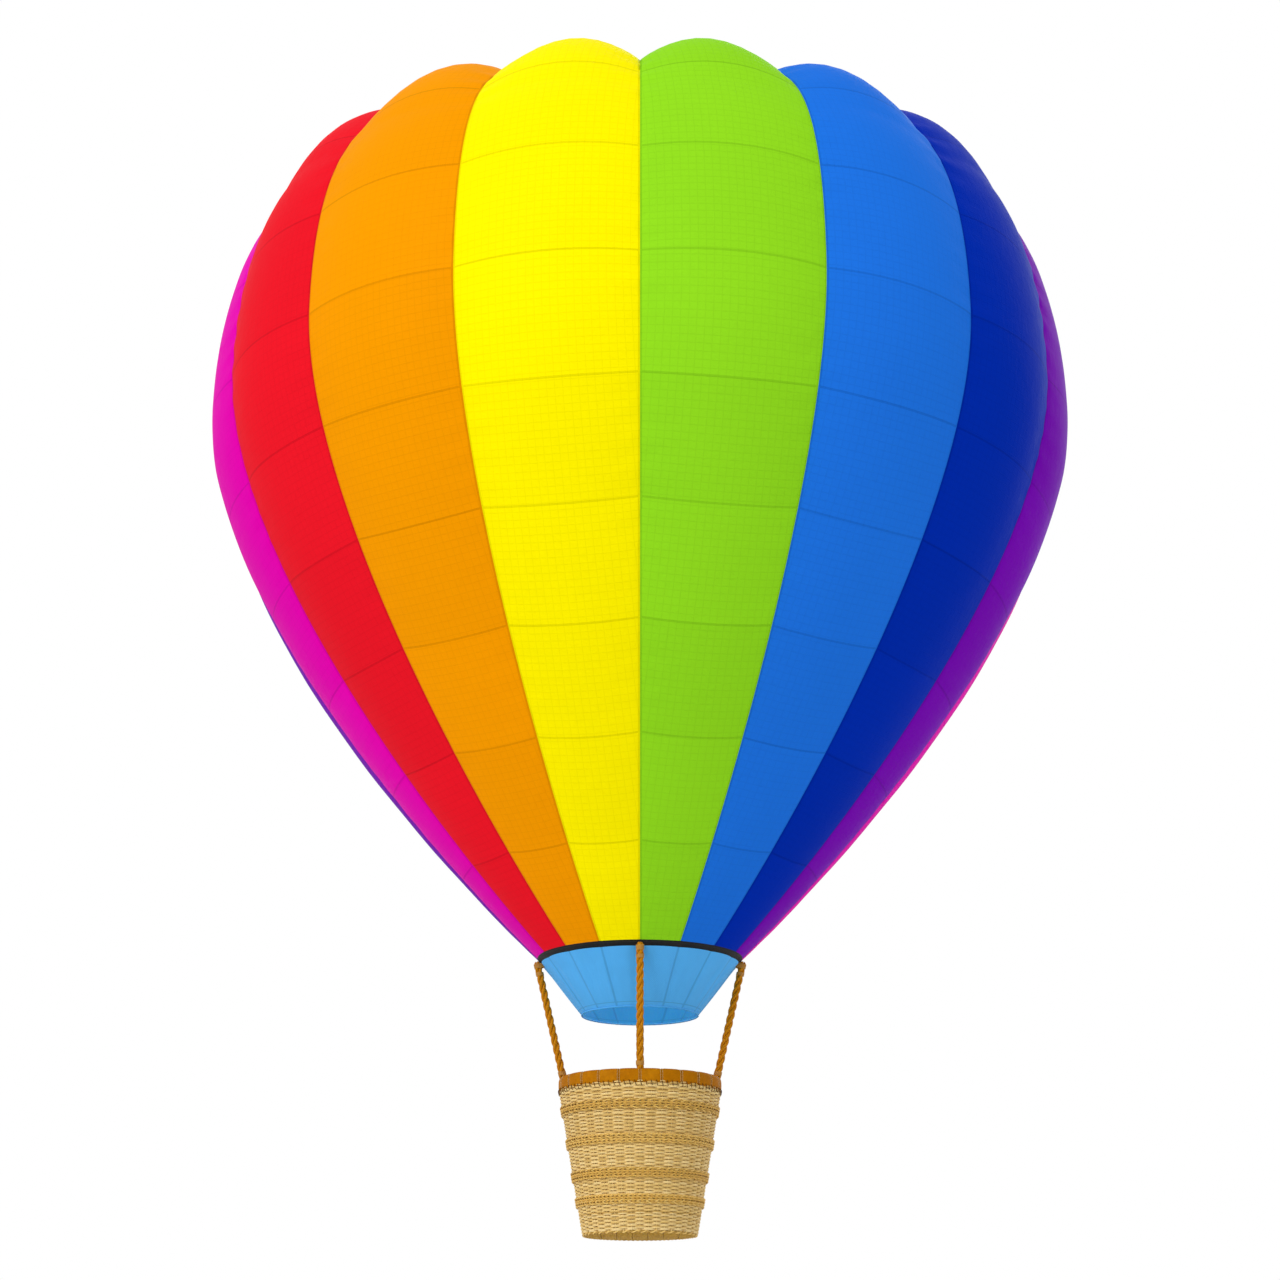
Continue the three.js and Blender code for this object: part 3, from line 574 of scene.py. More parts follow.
def part(points, faces, pattern=None):
    """A part from arrays of any shape. Without a pattern, its vectors are zero."""
    points = np.asarray(points, float).reshape(-1, 3)
    pattern = np.zeros_like(points) if pattern is None else np.asarray(pattern, float).reshape(-1, 3)
    return points, faces, pattern


def joined(parts):
    """Several parts as one."""
    points, patterns, faces, count = [], [], [], 0
    for their_points, their_faces, their_pattern in parts:
        points.append(their_points)
        patterns.append(their_pattern)
        faces += [[index + count for index in face] for face in their_faces]
        count += len(their_points)
    return np.concatenate(points), faces, np.concatenate(patterns)


def moved(made, matrix):
    """The part in another place. Its pattern goes with it."""
    points, faces, pattern = made
    return points @ np.array(matrix.to_3x3()).T + np.array(matrix.translation), faces, pattern


def placed(name, data):
    """A new object in the scene."""
    obj = bpy.data.objects.new(name, data)
    bpy.context.scene.collection.objects.link(obj)
    return obj


def piece(name, made, finish, body, replaces=(), crease=35.0, second_finish=None, second_faces=()):
    """Makes the object of a part, with its finish, on the body that it moves with. Some of its faces
    may have a second finish."""
    points, faces, pattern = made
    mesh = bpy.data.meshes.new(name)
    mesh.from_pydata(points.tolist(), [], faces)
    marks = mesh.attributes.new("pattern", "FLOAT_VECTOR", "POINT")
    marks.data.foreach_set("vector", pattern.astype(np.float32).ravel())
    mesh.materials.append(finish)
    if second_finish:
        mesh.materials.append(second_finish)
    for index in second_faces:
        mesh.polygons[index].material_index = 1
    mesh.shade_smooth()
    mesh.set_sharp_from_angle(angle=math.radians(crease))
    obj = placed(name, mesh)
    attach(obj, body)
    if replaces:
        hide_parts(*replaces)
    return obj


def grid_faces(rows, columns, wrap_rows=False, wrap_columns=False):
    """The faces of a grid of points, which may close on itself either way."""
    i = np.arange(rows if wrap_rows else rows - 1)[:, None]
    j = np.arange(columns if wrap_columns else columns - 1)[None, :]
    here, above = i * columns, (i + 1) % rows * columns
    right = (j + 1) % columns
    corners = np.broadcast_arrays(here + j, here + right, above + right, above + j)
    return np.stack(corners, -1).reshape(-1, 4).tolist()


def tube_faces(rings, sides, closed):
    """The faces of a tube, which closes on itself or is capped at both ends."""
    faces = grid_faces(rings, sides, closed, True)
    if not closed:
        last = (rings - 1) * sides
        faces += [list(range(sides))[::-1], list(range(last, last + sides))]
    return faces


def swept(path, radius, sides, side, closed=False, mark=0.0, upright=None):
    """A bar along a path. side is a direction that is never along it, where its radius is measured,
    and upright is its other radius if it is flattened."""
    path = np.asarray(path, float)
    ahead = np.roll(path, -1, 0) - np.roll(path, 1, 0) if closed else np.gradient(path, axis=0)
    ahead /= np.linalg.norm(ahead, axis=1, keepdims=True)
    out = np.broadcast_to(np.asarray(side, float), path.shape)
    out = out - (out * ahead).sum(1, keepdims=True) * ahead
    out /= np.linalg.norm(out, axis=1, keepdims=True)
    up = np.cross(ahead, out)
    turn = full_turn(sides)
    wide = np.broadcast_to(radius, len(path))[:, None, None]
    tall = wide if upright is None else np.broadcast_to(upright, len(path))[:, None, None]
    ring = wide * np.cos(turn)[:, None] * out[:, None] + tall * np.sin(turn)[:, None] * up[:, None]
    pattern = xyz(walked(path)[:, None], turn / (2 * math.pi), mark)
    return part(path[:, None] + ring, tube_faces(len(path), sides, closed), pattern)


def turned(outline, sides, closed=True):
    """A lathe piece about Z. The outline runs anticlockwise, and is closed or capped at both ends."""
    outline = np.asarray(outline, float)
    turn = full_turn(sides)
    radius, level = outline[:, :1], outline[:, 1:]
    pattern = xyz(radius * turn, walked(outline)[:, None], 1.0)
    points = xyz(radius * np.cos(turn), radius * np.sin(turn), level)
    return part(points, tube_faces(len(outline), sides, closed), pattern)


def hoop(radius, tube, level, steps=96, sides=16, mark=0.0):
    """A bar bent into a level ring about Z."""
    return swept(polar(radius, full_turn(steps), level), tube, sides, (0, 0, 1), closed=True, mark=mark)


def bar(a, b, radius, sides=16):
    """A straight round bar between two points."""
    a, b = np.array(a, float), np.array(b, float)
    side = (0, 0, 1) if abs((b - a)[2]) < 0.9 * np.linalg.norm(b - a) else (1, 0, 0)
    return swept(a + (b - a) * np.linspace(0, 1, 3)[:, None], radius, sides, side)


def bolt(place, direction, radius=0.007, head=0.006):
    """A bolt's round head on its washer, looking along a direction."""
    washer = 0.0015
    outline = [
        (AXIS_GAP, 0.0),
        (radius * 1.25, 0.0),
        (radius * 1.25, washer),
        (radius, washer),
        (radius, head * 0.8),
        (radius * 0.85, head),
        (AXIS_GAP, head),
    ]
    return moved(turned(outline, 12, closed=False), facing(place, direction))


def taken_from(mesh):
    """The points and faces of a bmesh, which is then freed."""
    points = np.array([list(vert.co) for vert in mesh.verts])
    faces = [[vert.index for vert in face.verts] for face in mesh.faces]
    mesh.free()
    return points, faces


def rounded_box(size, centre, rounding, turn=0.0):
    """A box with rounded edges, turned about Z."""
    mesh = bmesh.new()
    bmesh.ops.create_cube(mesh, size=1.0)
    bmesh.ops.scale(mesh, vec=size, verts=mesh.verts)
    bmesh.ops.bevel(mesh, geom=mesh.edges[:], offset=rounding, segments=3, affect="EDGES", profile=0.5)
    return moved(part(*taken_from(mesh)), Matrix.Translation(centre) @ Matrix.Rotation(turn, 4, "Z"))


def closed_sheet(outer, inner, pattern, wrap=False):
    """A thin closed sheet from its outer and inner grids of points, rows by columns."""
    rows, columns = outer.shape[:2]
    faces = grid_faces(rows, columns, False, wrap)
    depth = rows * columns
    backs = [[index + depth for index in face[::-1]] for face in faces]
    rims = []
    bottom = list(range(columns)) + ([0] if wrap else [])
    top = [(rows - 1) * columns + j for j in bottom]
    for a, b in zip(bottom[:-1], bottom[1:]):
        rims.append([a, a + depth, b + depth, b])
    for a, b in zip(top[:-1], top[1:]):
        rims.append([a, b, b + depth, a + depth])
    if not wrap:
        for i in range(rows - 1):
            left, right = i * columns, i * columns + columns - 1
            rims.append([left, left + columns, left + columns + depth, left + depth])
            rims.append([right, right + depth, right + columns + depth, right + columns])
    points = np.concatenate([outer.reshape(-1, 3), inner.reshape(-1, 3)])
    return part(points, faces + backs + rims, np.concatenate([pattern.reshape(-1, 3)] * 2))


def stitches(path, side, pitch, radius):
    """A row of stitches along a path: short bars with spaces between, which dive at both ends."""
    places = 0.6 * pitch * np.array([0.0, 0.3, 0.7, 1.0])
    arch = radius * np.array([[-1.0], [0.6], [0.6], [-1.0]])
    side = np.broadcast_to(np.asarray(side, float), path.shape)
    distance = walked(path)
    bars = []
    for begin in np.arange(0, distance[-1] - pitch / 2, pitch):
        line, out = (
            np.stack([np.interp(begin + places, distance, values) for values in rows.T], -1)
            for rows in (path, side)
        )
        bars.append(swept(line + out * arch, radius, 4, out))
    return joined(bars)


# Envelope

def seam_points():
    """The seam from mouth to opening, as fine arrays of what the cloth's shape needs."""
    t = np.linspace(0, 1, CURVE_STEPS + 1)[:, None]
    curves = []
    for begin, begin_slope, begin_handle, end, end_slope, end_handle in SEAM_CURVES:
        a, d = np.array(begin), np.array(end)
        b = a + begin_handle * heading(begin_slope)
        c = d - end_handle * heading(end_slope)
        curves.append((1 - t) ** 3 * a + 3 * (1 - t) ** 2 * t * b + 3 * (1 - t) * t**2 * c + t**3 * d)
    line = np.concatenate([curves[0]] + [curve[1:] for curve in curves[1:]])
    along = walked(line)
    to_shoulder = along[2 * CURVE_STEPS]
    depths = [(share * to_shoulder, depth) for share, depth in LOBE_DEPTHS]
    way = np.gradient(line, along, axis=0)
    way /= np.linalg.norm(way, axis=1, keepdims=True)
    level = np.clip(1 - along / LEVEL_LOBE_LENGTH, 0, 1)
    return {
        "along": along,
        "radius": line[:, 0],
        "z": line[:, 1],
        "outward": way[:, 1],
        "upward": -way[:, 0],
        "lobe_outward": way[:, 1] * (1 - level) + level,
        "lobe_upward": -way[:, 0] * (1 - level),
        "depth": read_off(depths + [(along[-1], OPENING_LOBE_DEPTH)], along),
    }


SEAM = seam_points()
SEAM_LENGTH = SEAM["along"][-1]


def across_gore(azimuth):
    """Where an azimuth lies across its gore: 0 in the middle, -1 and 1 at its seams."""
    return azimuth / HALF_GORE % 2 - 1


def cloth_points(along, azimuth, inset=0.0):
    """Points of the envelope's cloth, from metres along a seam, an azimuth, and metres under its face."""
    here = {key: np.interp(along, SEAM["along"], values) for key, values in SEAM.items()}
    across = across_gore(azimuth)
    flat = here["radius"] * math.cos(HALF_GORE) / np.cos(across * HALF_GORE)
    rise = here["depth"] * 2 * here["radius"] * math.sin(HALF_GORE) * (1 - across**2)
    reach = flat + rise * here["lobe_outward"] - inset * here["outward"]
    level = here["z"] + rise * here["lobe_upward"] - inset * here["upward"]
    return polar(reach, azimuth, level)


def pucker(along, to_seam, seam_number):
    """How far the cloth is drawn in beside a seam, where its fullness is gathered on the tape. Slow
    waves, at their own phase on each seam, keep the puckers from lying in step."""
    lively = read_off(PUCKER_SHARES, along / SEAM_LENGTH)
    wander = 0.9 * np.sin(along * 1.9 + seam_number * 2.1) + 0.6 * np.sin(along * 4.3 + seam_number * 4.7)
    wave = np.sin(2 * math.pi * along / PUCKER_LENGTH + wander)
    strength = 0.65 + 0.35 * np.sin(along * 2.7 + seam_number * 3.3)
    reach = to_seam / PUCKER_REACH
    return PUCKER_DEPTH * lively * strength * wave * reach * np.exp(1 - reach)


def sew_gores(cloths):
    """Sixteen gores: panels that swell a little between their seams, and pucker at the gore's own."""
    across = np.array([-a for a in GORE_ACROSS[:0:-1]] + list(GORE_ACROSS))
    along, across = np.meshgrid(np.linspace(0, SEAM_LENGTH, GORE_ROWS + 1), across, indexing="ij")
    half_width = np.interp(along, SEAM["along"], SEAM["radius"]) * math.sin(HALF_GORE)
    to_seam = (1 - np.abs(across)) * half_width
    swell = PANEL_SWELL * (0.5 - 0.5 * np.cos(2 * math.pi * along / PANEL_HEIGHT)) * (1 - across**2)
    dip = SEAM_DIP * np.exp(-to_seam / SEAM_DIP_REACH)
    for number in range(GORES):
        azimuth = (2 * number + 1 + across) * HALF_GORE
        seam_number = (number + (across > 0)) % GORES
        inset = pucker(along, to_seam, seam_number) - swell + dip
        outer = cloth_points(along, azimuth, inset)
        inner = cloth_points(along, azimuth, inset + CLOTH_THICKNESS)
        # Each gore is cut 30 panels further along the cloth than the last
        pattern = xyz(across * half_width, along + 30 * number * PANEL_HEIGHT, to_seam)
        slot, cloth = cloths[number % len(cloths)]
        name = f"{number + 1:02d}"
        gore = piece(f"gore_cloth_{name}", closed_sheet(outer, inner, pattern), cloth, "balloon",
                     [f"gore_{name}_lower", f"gore_{name}_upper"], crease=60)


def tape_level(radius):
    """Height of the crown tapes' underside."""
    return OPENING[1] + CROWN_RISE * (1 - radius / OPENING[0]) - TAPE_THICKNESS


def sew_vent(cloth):
    """The parachute vent: it closes the opening from inside, close under the gores and the tapes, and
    is full between the tapes."""
    above = SEAM["along"] > SEAM_LENGTH / 2
    seam_radius, seam_z = SEAM["radius"][above][::-1], SEAM["z"][above][::-1]
    radii = np.concatenate([
        [0.02, 0.2, 0.45],
        np.linspace(0.65, VENT_DOME_RADIUS, 8),
        np.linspace(1.4, VENT_RADIUS, 7),
    ])
    on_tapes = tape_level(radii) - VENT_TAPE_GAP
    on_gores = np.interp(radii, seam_radius, seam_z) - (CLOTH_THICKNESS + VENT_GORE_GAP)
    # It goes over from the tapes' level to the gores' between the dome's edge and the opening's
    level = read_off(((VENT_DOME_RADIUS, 0), (OPENING[0], 1)), radii) * (on_gores - on_tapes) + on_tapes
    azimuth = full_turn(GORES * 10)
    between = 1 - across_gore(azimuth) ** 2
    gathers = np.sin(azimuth * GORES * 3) * read_off(VENT_GATHERS, radii)[:, None]
    height = level[:, None] + read_off(VENT_RISE, radii)[:, None] * between + gathers
    # Rows run inwards, so that the face looks up
    inwards = radii[::-1, None]
    outer = polar(inwards, azimuth, height[::-1])
    inner = outer - np.array([0, 0, CLOTH_THICKNESS])
    pattern = xyz(azimuth * inwards, inwards, 1.0)
    vent = piece("vent_cloth", closed_sheet(outer, inner, pattern, wrap=True), cloth, "vent",
                 ["parachute_vent"], crease=60)
    patch = turned([(0.02, -0.001), (0.09, -0.001), (0.09, 0.003), (0.02, 0.003)], 48)
    middle = Matrix.Translation((0, 0, tape_level(0.0) - VENT_TAPE_GAP))
    piece("vent_centre_patch", moved(patch, middle), cloth, "vent")


def sew_crown(webbing, metal, thread):
    """A ring at the top, with a tape from it to each seam, sewn down over the gores' edge."""
    ring_level = tape_level(CROWN_RING_RADIUS)
    radii = np.linspace(CROWN_RING_RADIUS, OPENING[0], 12)
    inwards = radii[::-1, None]
    offsets = np.linspace(-0.5, 0.5, 5) * TAPE_WIDTH
    narrow = offsets * 0.95
    sewn_along = SEAM_LENGTH - np.linspace(TAPE_OVERLAP, 0.008, 5)[:, None]
    sewn_radius = np.interp(sewn_along, SEAM["along"], SEAM["radius"])
    # The tape's end goes round the ring and back under itself
    loop_turn = np.linspace(-0.5 * math.pi, 1.3 * math.pi, 12)[:, None]
    loop_radius = CROWN_RING_RADIUS - TAPE_LOOP_RADIUS * np.cos(loop_turn)
    loop_level = ring_level + TAPE_LOOP_RADIUS * np.sin(loop_turn)
    # The webbing is thinner than the solid, and lies in its lower part
    face = TAPE_THICKNESS * 0.6
    straps, rows_of_thread = [], []
    for azimuth in full_turn(GORES):
        air = polar(inwards, azimuth + offsets / inwards, tape_level(inwards))
        sewn = cloth_points(sewn_along, azimuth + offsets / sewn_radius, -0.001)
        lower = np.concatenate([sewn, air])
        pattern = xyz(offsets, np.linspace(0, 1.5, len(lower))[:, None], 1.0)
        straps.append(closed_sheet(lower + np.array([0, 0, face]), lower, pattern))
        across = azimuth + narrow / CROWN_RING_RADIUS
        loop = polar(loop_radius, across, loop_level)
        centre = polar(CROWN_RING_RADIUS, across, ring_level)
        inner_loop = loop + (centre - loop) * 0.2
        straps.append(closed_sheet(loop, inner_loop, xyz(narrow, 0.02 * loop_turn, 1.0)))
        for offset in (-TAPE_STITCH_OFFSET, TAPE_STITCH_OFFSET):
            run = polar(radii[:4], azimuth + offset / radii[:4], tape_level(radii[:4]) + face)
            rows_of_thread.append(stitches(run, (0, 0, 1), TAPE_STITCH_PITCH, THREAD_RADIUS))
    piece("crown_tapes", joined(straps), webbing, "balloon", ["crown_ring_and_tapes"])
    piece("crown_tape_stitching", joined(rows_of_thread), thread, "balloon")
    ring = hoop(CROWN_RING_RADIUS, CROWN_RING_TUBE, ring_level + 0.003)
    piece("crown_ring", ring, metal, "balloon")


# Mouth band and skirt

MOUTH_OUT, MOUTH_UP = heading(MOUTH_SLOPE)
MOUTH_LOBE = LOBE_DEPTHS[0][1] * 2 * MOUTH[0] * math.sin(HALF_GORE)
BAND_BOTTOM = (MOUTH[0] - BAND_WIDTH * MOUTH_OUT, MOUTH[1] - BAND_WIDTH * MOUTH_UP)


def mouth_surface(distance, azimuth, inset):
    """Points below the mouth, on the gores' own slope, scalloped like their edge."""
    across = across_gore(azimuth)
    rise = MOUTH_LOBE * (1 - across**2)
    fade = np.clip(1 - distance / MOUTH_LOBE_FADE, 0, 1)
    flat = math.cos(HALF_GORE) / np.cos(across * HALF_GORE)
    radius = (MOUTH[0] - distance * MOUTH_OUT) * flat - inset * MOUTH_UP + rise * fade
    return polar(radius, azimuth, MOUTH[1] - distance * MOUTH_UP + inset * MOUTH_OUT)


def sew_mouth_band(webbing, thread):
    """The webbing over the gores' lower edge, with a row of stitches near each of its own edges."""
    azimuth = full_turn(GORES * 12)
    distance, face, back = np.transpose(BAND_SECTION)[:, :, None]
    outer = mouth_surface(distance, azimuth, face)
    inner = mouth_surface(distance, azimuth, back)
    pattern = xyz(distance, azimuth * MOUTH[0], 1.0)
    piece("mouth_webbing", closed_sheet(outer, inner, pattern, wrap=True), webbing, "balloon",
          ["mouth_band"])
    rows_of_thread = []
    loop = np.linspace(0, 2 * math.pi, GORES * 24 + 1)
    for row in BAND_STITCH_ROWS:
        run = mouth_surface(row, loop, BAND_STITCH_DEPTH)
        out = mouth_surface(row, loop, -1.0) - mouth_surface(row, loop, 0.0)
        rows_of_thread.append(stitches(run, out, BAND_STITCH_PITCH, THREAD_RADIUS))
    piece("mouth_stitching", joined(rows_of_thread), thread, "balloon")


def sew_skirt(outside, inside):
    """The skirt: one cone of sewn panels, with soft folds that fade out at the band, and a hem
    turned over a springy hoop."""
    columns = GORES * 14
    share = np.array(SKIRT_ROWS)[:, None]
    azimuth = full_turn(columns)
    across = across_gore(azimuth)
    # Folds 24 and 40 to a turn, the wider ones wandering, which fade out at the hem and the band
    fold = 0.006 * np.sin(azimuth * 24 + 0.7 * np.sin(azimuth * 5)) + 0.004 * np.sin(azimuth * 40)
    fold = fold * np.sin(share * math.pi) ** 0.7
    # Its upper quarter widens to follow the scalloped band
    scallop = MOUTH_LOBE * (1 - across**2) * np.clip(share * 3 - 2.3, 0, 0.68)
    run, rise = BAND_BOTTOM[0] - SKIRT_MOUTH[0], BAND_BOTTOM[1] - SKIRT_MOUTH[1]
    length = math.hypot(run, rise)
    radius = SKIRT_MOUTH[0] + run * share + fold + scallop
    level = SKIRT_MOUTH[1] + rise * share
    outer = polar(radius, azimuth, level)
    inner = polar(radius - SKIRT_THICKNESS, azimuth, level)
    to_gore_seam = (1 - np.abs(across)) * radius * math.sin(HALF_GORE)
    to_hem_seam = np.abs(share * length - HEM_SEAM) + 0.006
    pattern = xyz(azimuth * 0.9, share * length, np.minimum(to_gore_seam, to_hem_seam))
    # Its inner faces take a darker copy of the skirt's own cloth, painted shade for the dim inside of the
    # mouth
    walls = (len(share) - 1) * columns
    skirt = piece("skirt_cloth", closed_sheet(outer, inner, pattern, wrap=True), outside, "balloon",
                  ["skirt"], crease=60, second_finish=inside,
                  second_faces=range(walls, 2 * walls))
    # The hem is sewn tight in 64 places, and bulges between them
    steps = 192
    tube = HOOP_TUBE * (1 + 0.06 * np.sin(full_turn(steps) * 64))
    hem_level = SKIRT_MOUTH[1] - HOOP_TUBE * 0.6
    hem = hoop(SKIRT_MOUTH[0] - SKIRT_THICKNESS / 2, tube, hem_level, steps, 12, mark=1.0)
    piece("skirt_hem", hem, outside, "balloon", ["skirt_hoop"])


# Ropes

def lay_ropes(manila, twine):
    """Four ropes of three strands, lashed with twine to the mouth band, and whipped near the head
    and the foot."""
    run, rise = ROPE_HEAD[0] - ROPE_FOOT[0], ROPE_HEAD[1] - ROPE_FOOT[1]
    length = math.hypot(run, rise)
    # Three round strands that touch each other fill the rope's circle
    strand_radius = ROPE_RADIUS / (1 + 2 / math.sqrt(3))
    strand_offset = ROPE_RADIUS - strand_radius
    from_foot = np.linspace(-ROPE_IN_SOCKET, length + ROPE_PAST_HEAD, 110)
    left = np.clip((from_foot[-1] - from_foot) / ROPE_ROUNDING, 0, 1)
    taper = np.sqrt(np.clip(1 - (1 - left) ** 2, 0.03, 1))
    reach = strand_offset * (0.35 + 0.65 * taper)
    strands = []
    for k in range(3):
        turn = 2 * math.pi * (from_foot / ROPE_LAY + k / 3)
        axis = xyz(reach * np.cos(turn), reach * np.sin(turn), from_foot)
        out = xyz(np.cos(turn), np.sin(turn), 0.0)
        strands.append(swept(axis, strand_radius * taper, 14, out, mark=k))
    # The lashing reaches in to the band on each turn, and the whippings go straight round
    around = ROPE_RADIUS * 0.985
    wraps = []
    for begin, turns, inward in ((length - 0.045, 7, LASHING_REACH), (length - 0.13, 5, 0), (0.035, 6, 0)):
        turn = np.linspace(0, 2 * math.pi * turns, turns * 20)
        level = begin + TWINE_PITCH * turn / (2 * math.pi)
        pull = inward * (0.5 + 0.5 * np.sin(turn)) ** 2
        axis = xyz(around * np.cos(turn), around * np.sin(turn) + pull, level)
        wraps.append(swept(axis, TWINE_RADIUS, 6, (0, 0, 1)))
    for place, azimuth in (("front", 0), ("right", 90), ("back", 180), ("left", -90)):
        stand = (
            Matrix.Rotation(math.radians(azimuth), 4, "Z")
            @ Matrix.Translation((0, -ROPE_FOOT[0], ROPE_FOOT[1]))
            @ Matrix.Rotation(math.atan2(run, rise), 4, "X")
        )
        piece(f"laid_rope_{place}", moved(joined(strands), stand), manila, "balloon",
              [f"rope_{place}"], crease=70)
        piece(f"rope_whipping_{place}", moved(joined(wraps), stand), twine, "balloon")


# Basket

def wall_radius(level):
    """The basket's outer radius at a height."""
    return np.interp(level, [BASKET_BOTTOM[1], BASKET_TOP[1]], [BASKET_BOTTOM[0], BASKET_TOP[0]])


def twisted_pair(level, radius, rod, offset, turns, way, mark):
    """Two rods twisted round each other, all round the basket, each its offset from their middle."""
    azimuth = full_turn(PAIR_STEPS)
    out = polar(1.0, azimuth, 0.0)
    pair = []
    for half in (0, math.pi):
        turn = way * turns * azimuth + half
        path = polar(radius + offset * np.cos(turn), azimuth, level + offset * 1.15 * np.sin(turn))
        pair.append(swept(path, rod, 6, out, closed=True, mark=mark + half))
    return pair


def weave_wall(willow, brown_willow):
    """Stakes, with pairs of rods woven before one and behind the next, and a twisted foot. A rod's
    mark, its own number, gives it its own buff."""
    middle = -WALL_THICKNESS / 2
    swing = WALL_THICKNESS / 2 - ROD_RADIUS
    azimuth = full_turn(STAKES * 5)
    out = polar(1.0, azimuth, 0.0)
    weave = np.cos(azimuth * STAKES / 2)
    chance = np.random.default_rng(7)
    rods = []
    wall_top = BASKET_TOP[1] + WALL_PAST_TOP
    for k, level in enumerate(np.arange(BASKET_BOTTOM[1] + FIRST_ROD, wall_top, ROD_PITCH)):
        wave = weave if (k // 2) % 2 else -weave
        shape = np.sign(wave) * np.abs(wave) ** 0.8
        thick = chance.uniform(0.9, 1.06)
        # Rows wander up and down together, as hand weaving does
        wander = 0.0035 * np.sin(3 * azimuth + 4 * level) + 0.0025 * np.sin(7 * azimuth - 9 * level)
        path = polar(wall_radius(level) + middle + swing * shape, azimuth, level + wander + 0.0012 * wave)
        rod = swept(path, ROD_RADIUS * thick, 5, out, closed=True, mark=k + 0.5,
                    upright=ROD_HALF_HEIGHT * thick)
        rods.append((level, rod))
    # The braids part the rods into five pieces
    bands = [BASKET_BOTTOM[1] - 1] + sorted(BRAID_LEVELS) + [BASKET_TOP[1] + 1]
    for number, (low, high) in enumerate(zip(bands[:-1], bands[1:])):
        own = [rod for level, rod in rods if low < level <= high]
        piece(f"woven_rods_{number + 1}", joined(own), willow, "balloon",
              ["basket_wall"] if number == 0 else [], crease=80)
    stake_level = np.linspace(BASKET_BOTTOM[1] + 0.012, wall_top, 8)
    stakes = []
    for j, place in enumerate(full_turn(STAKES)):
        path = polar(wall_radius(stake_level) + middle, place, stake_level)
        stakes.append(swept(path, STAKE_RADIUS, 8, polar(1.0, place, 0.0), mark=200 + j))
    piece("wall_stakes", joined(stakes), willow, "balloon", crease=80)
    foot_level = BASKET_BOTTOM[1] + 0.0135
    foot = twisted_pair(foot_level, wall_radius(foot_level) + middle, FOOT_ROD_RADIUS, FOOT_TWIST,
                        FOOT_TURNS, 1, 300)
    piece("basket_foot", joined(foot), brown_willow, "balloon", crease=80)


def braid_wall(brown_willow):
    """The four raised bands: rows of twisted rods, each row twisted against the next."""
    pitch = BRAID_HEIGHT / BRAID_ROWS
    for number, centre in enumerate(BRAID_LEVELS):
        rods = []
        for row in range(BRAID_ROWS):
            level = centre + (row - (BRAID_ROWS - 1) / 2) * pitch
            way = 1 if row % 2 else -1
            mark = 400 + number * 20 + row * 2
            rods += twisted_pair(level, wall_radius(level) + BRAID_REACH, BRAID_ROD_RADIUS, BRAID_TWIST,
                                 STAKES, way, mark)
        piece(f"wicker_braid_{number + 1}", joined(rods), brown_willow, "balloon",
              [f"braid_{number + 1}"], crease=80)


def rim_section(turn):
    """Points of the rim's section, a superellipse, from its middle: outwards and up."""
    ways = [np.sign(way) * np.abs(way) ** (2 / RIM_SQUARENESS) for way in (np.cos(turn), np.sin(turn))]
    return ways[0] * RIM_WIDTH / 2, ways[1] * RIM_HEIGHT / 2


def pad_rim(hide, thread, lace):
    """The rim: hide stretched over padding, sewn across at even places, laced to the wall below."""
    turn = full_turn(28)
    out, up = rim_section(turn)
    azimuth = full_turn(RIM_PANELS * 12)
    place = azimuth * RIM_PANELS / (2 * math.pi) % 1
    to_seam = np.minimum(place, 1 - place) * 2 * math.pi * RIM_MIDDLE[0] / RIM_PANELS
    # Each seam pulls the padding in, and the hide ripples beside it
    full = 1 - 0.085 * np.exp(-to_seam / 0.018)
    ripple = 1 + 0.006 * np.sin(azimuth * 170) * np.exp(-to_seam / 0.05)
    swell = full * ripple
    points = polar(RIM_MIDDLE[0] + out[:, None] * swell, azimuth, RIM_MIDDLE[1] + up[:, None] * swell)
    girth = walked(np.stack([out, up], -1))[:, None]
    pattern = xyz(azimuth * RIM_MIDDLE[0], girth, to_seam)
    cover = part(points, grid_faces(*points.shape[:2], True, True), pattern)
    rim = piece("rim_cover", cover, hide, "balloon", ["basket_rim"], crease=80)
    # Two rows of stitches beside each seam, all round the section but for its underside
    out, up = rim_section(np.roll(turn, 2)[:19])
    # There the hide is drawn in to this share of its section
    sunk = 0.962
    rows_of_thread = []
    for seam in full_turn(RIM_PANELS):
        for gap in (-RIM_STITCH_GAP, RIM_STITCH_GAP):
            at = seam + gap / RIM_MIDDLE[0]
            side = polar(out, at, up)
            side /= np.linalg.norm(side, axis=1, keepdims=True)
            run = polar(RIM_MIDDLE[0] + out * sunk, at, RIM_MIDDLE[1] + up * sunk)
            rows_of_thread.append(stitches(run, side, RIM_STITCH_PITCH, RIM_THREAD_RADIUS))
    piece("rim_stitching", joined(rows_of_thread), thread, "balloon")
    # A lace comes out of the hide, slants over its edge and goes in between the rods
    level = RIM_TOP - RIM_HEIGHT + np.array([0.03, 0.016, 0.0, -0.02, -0.026])
    on_wall = wall_radius(level)
    reach = np.array([RIM_OUTER - 0.004, RIM_OUTER + 0.002, RIM_OUTER - 0.001, on_wall[3] + 0.004,
                      on_wall[4] - 0.008])
    slant = np.linspace(0, 0.022, 5)
    laces = [swept(polar(reach, at + slant, level), LACE_RADIUS, 6, (0, 0, 1)) for at in full_turn(LACES)]
    piece("rim_lacing", joined(laces), lace, "balloon")


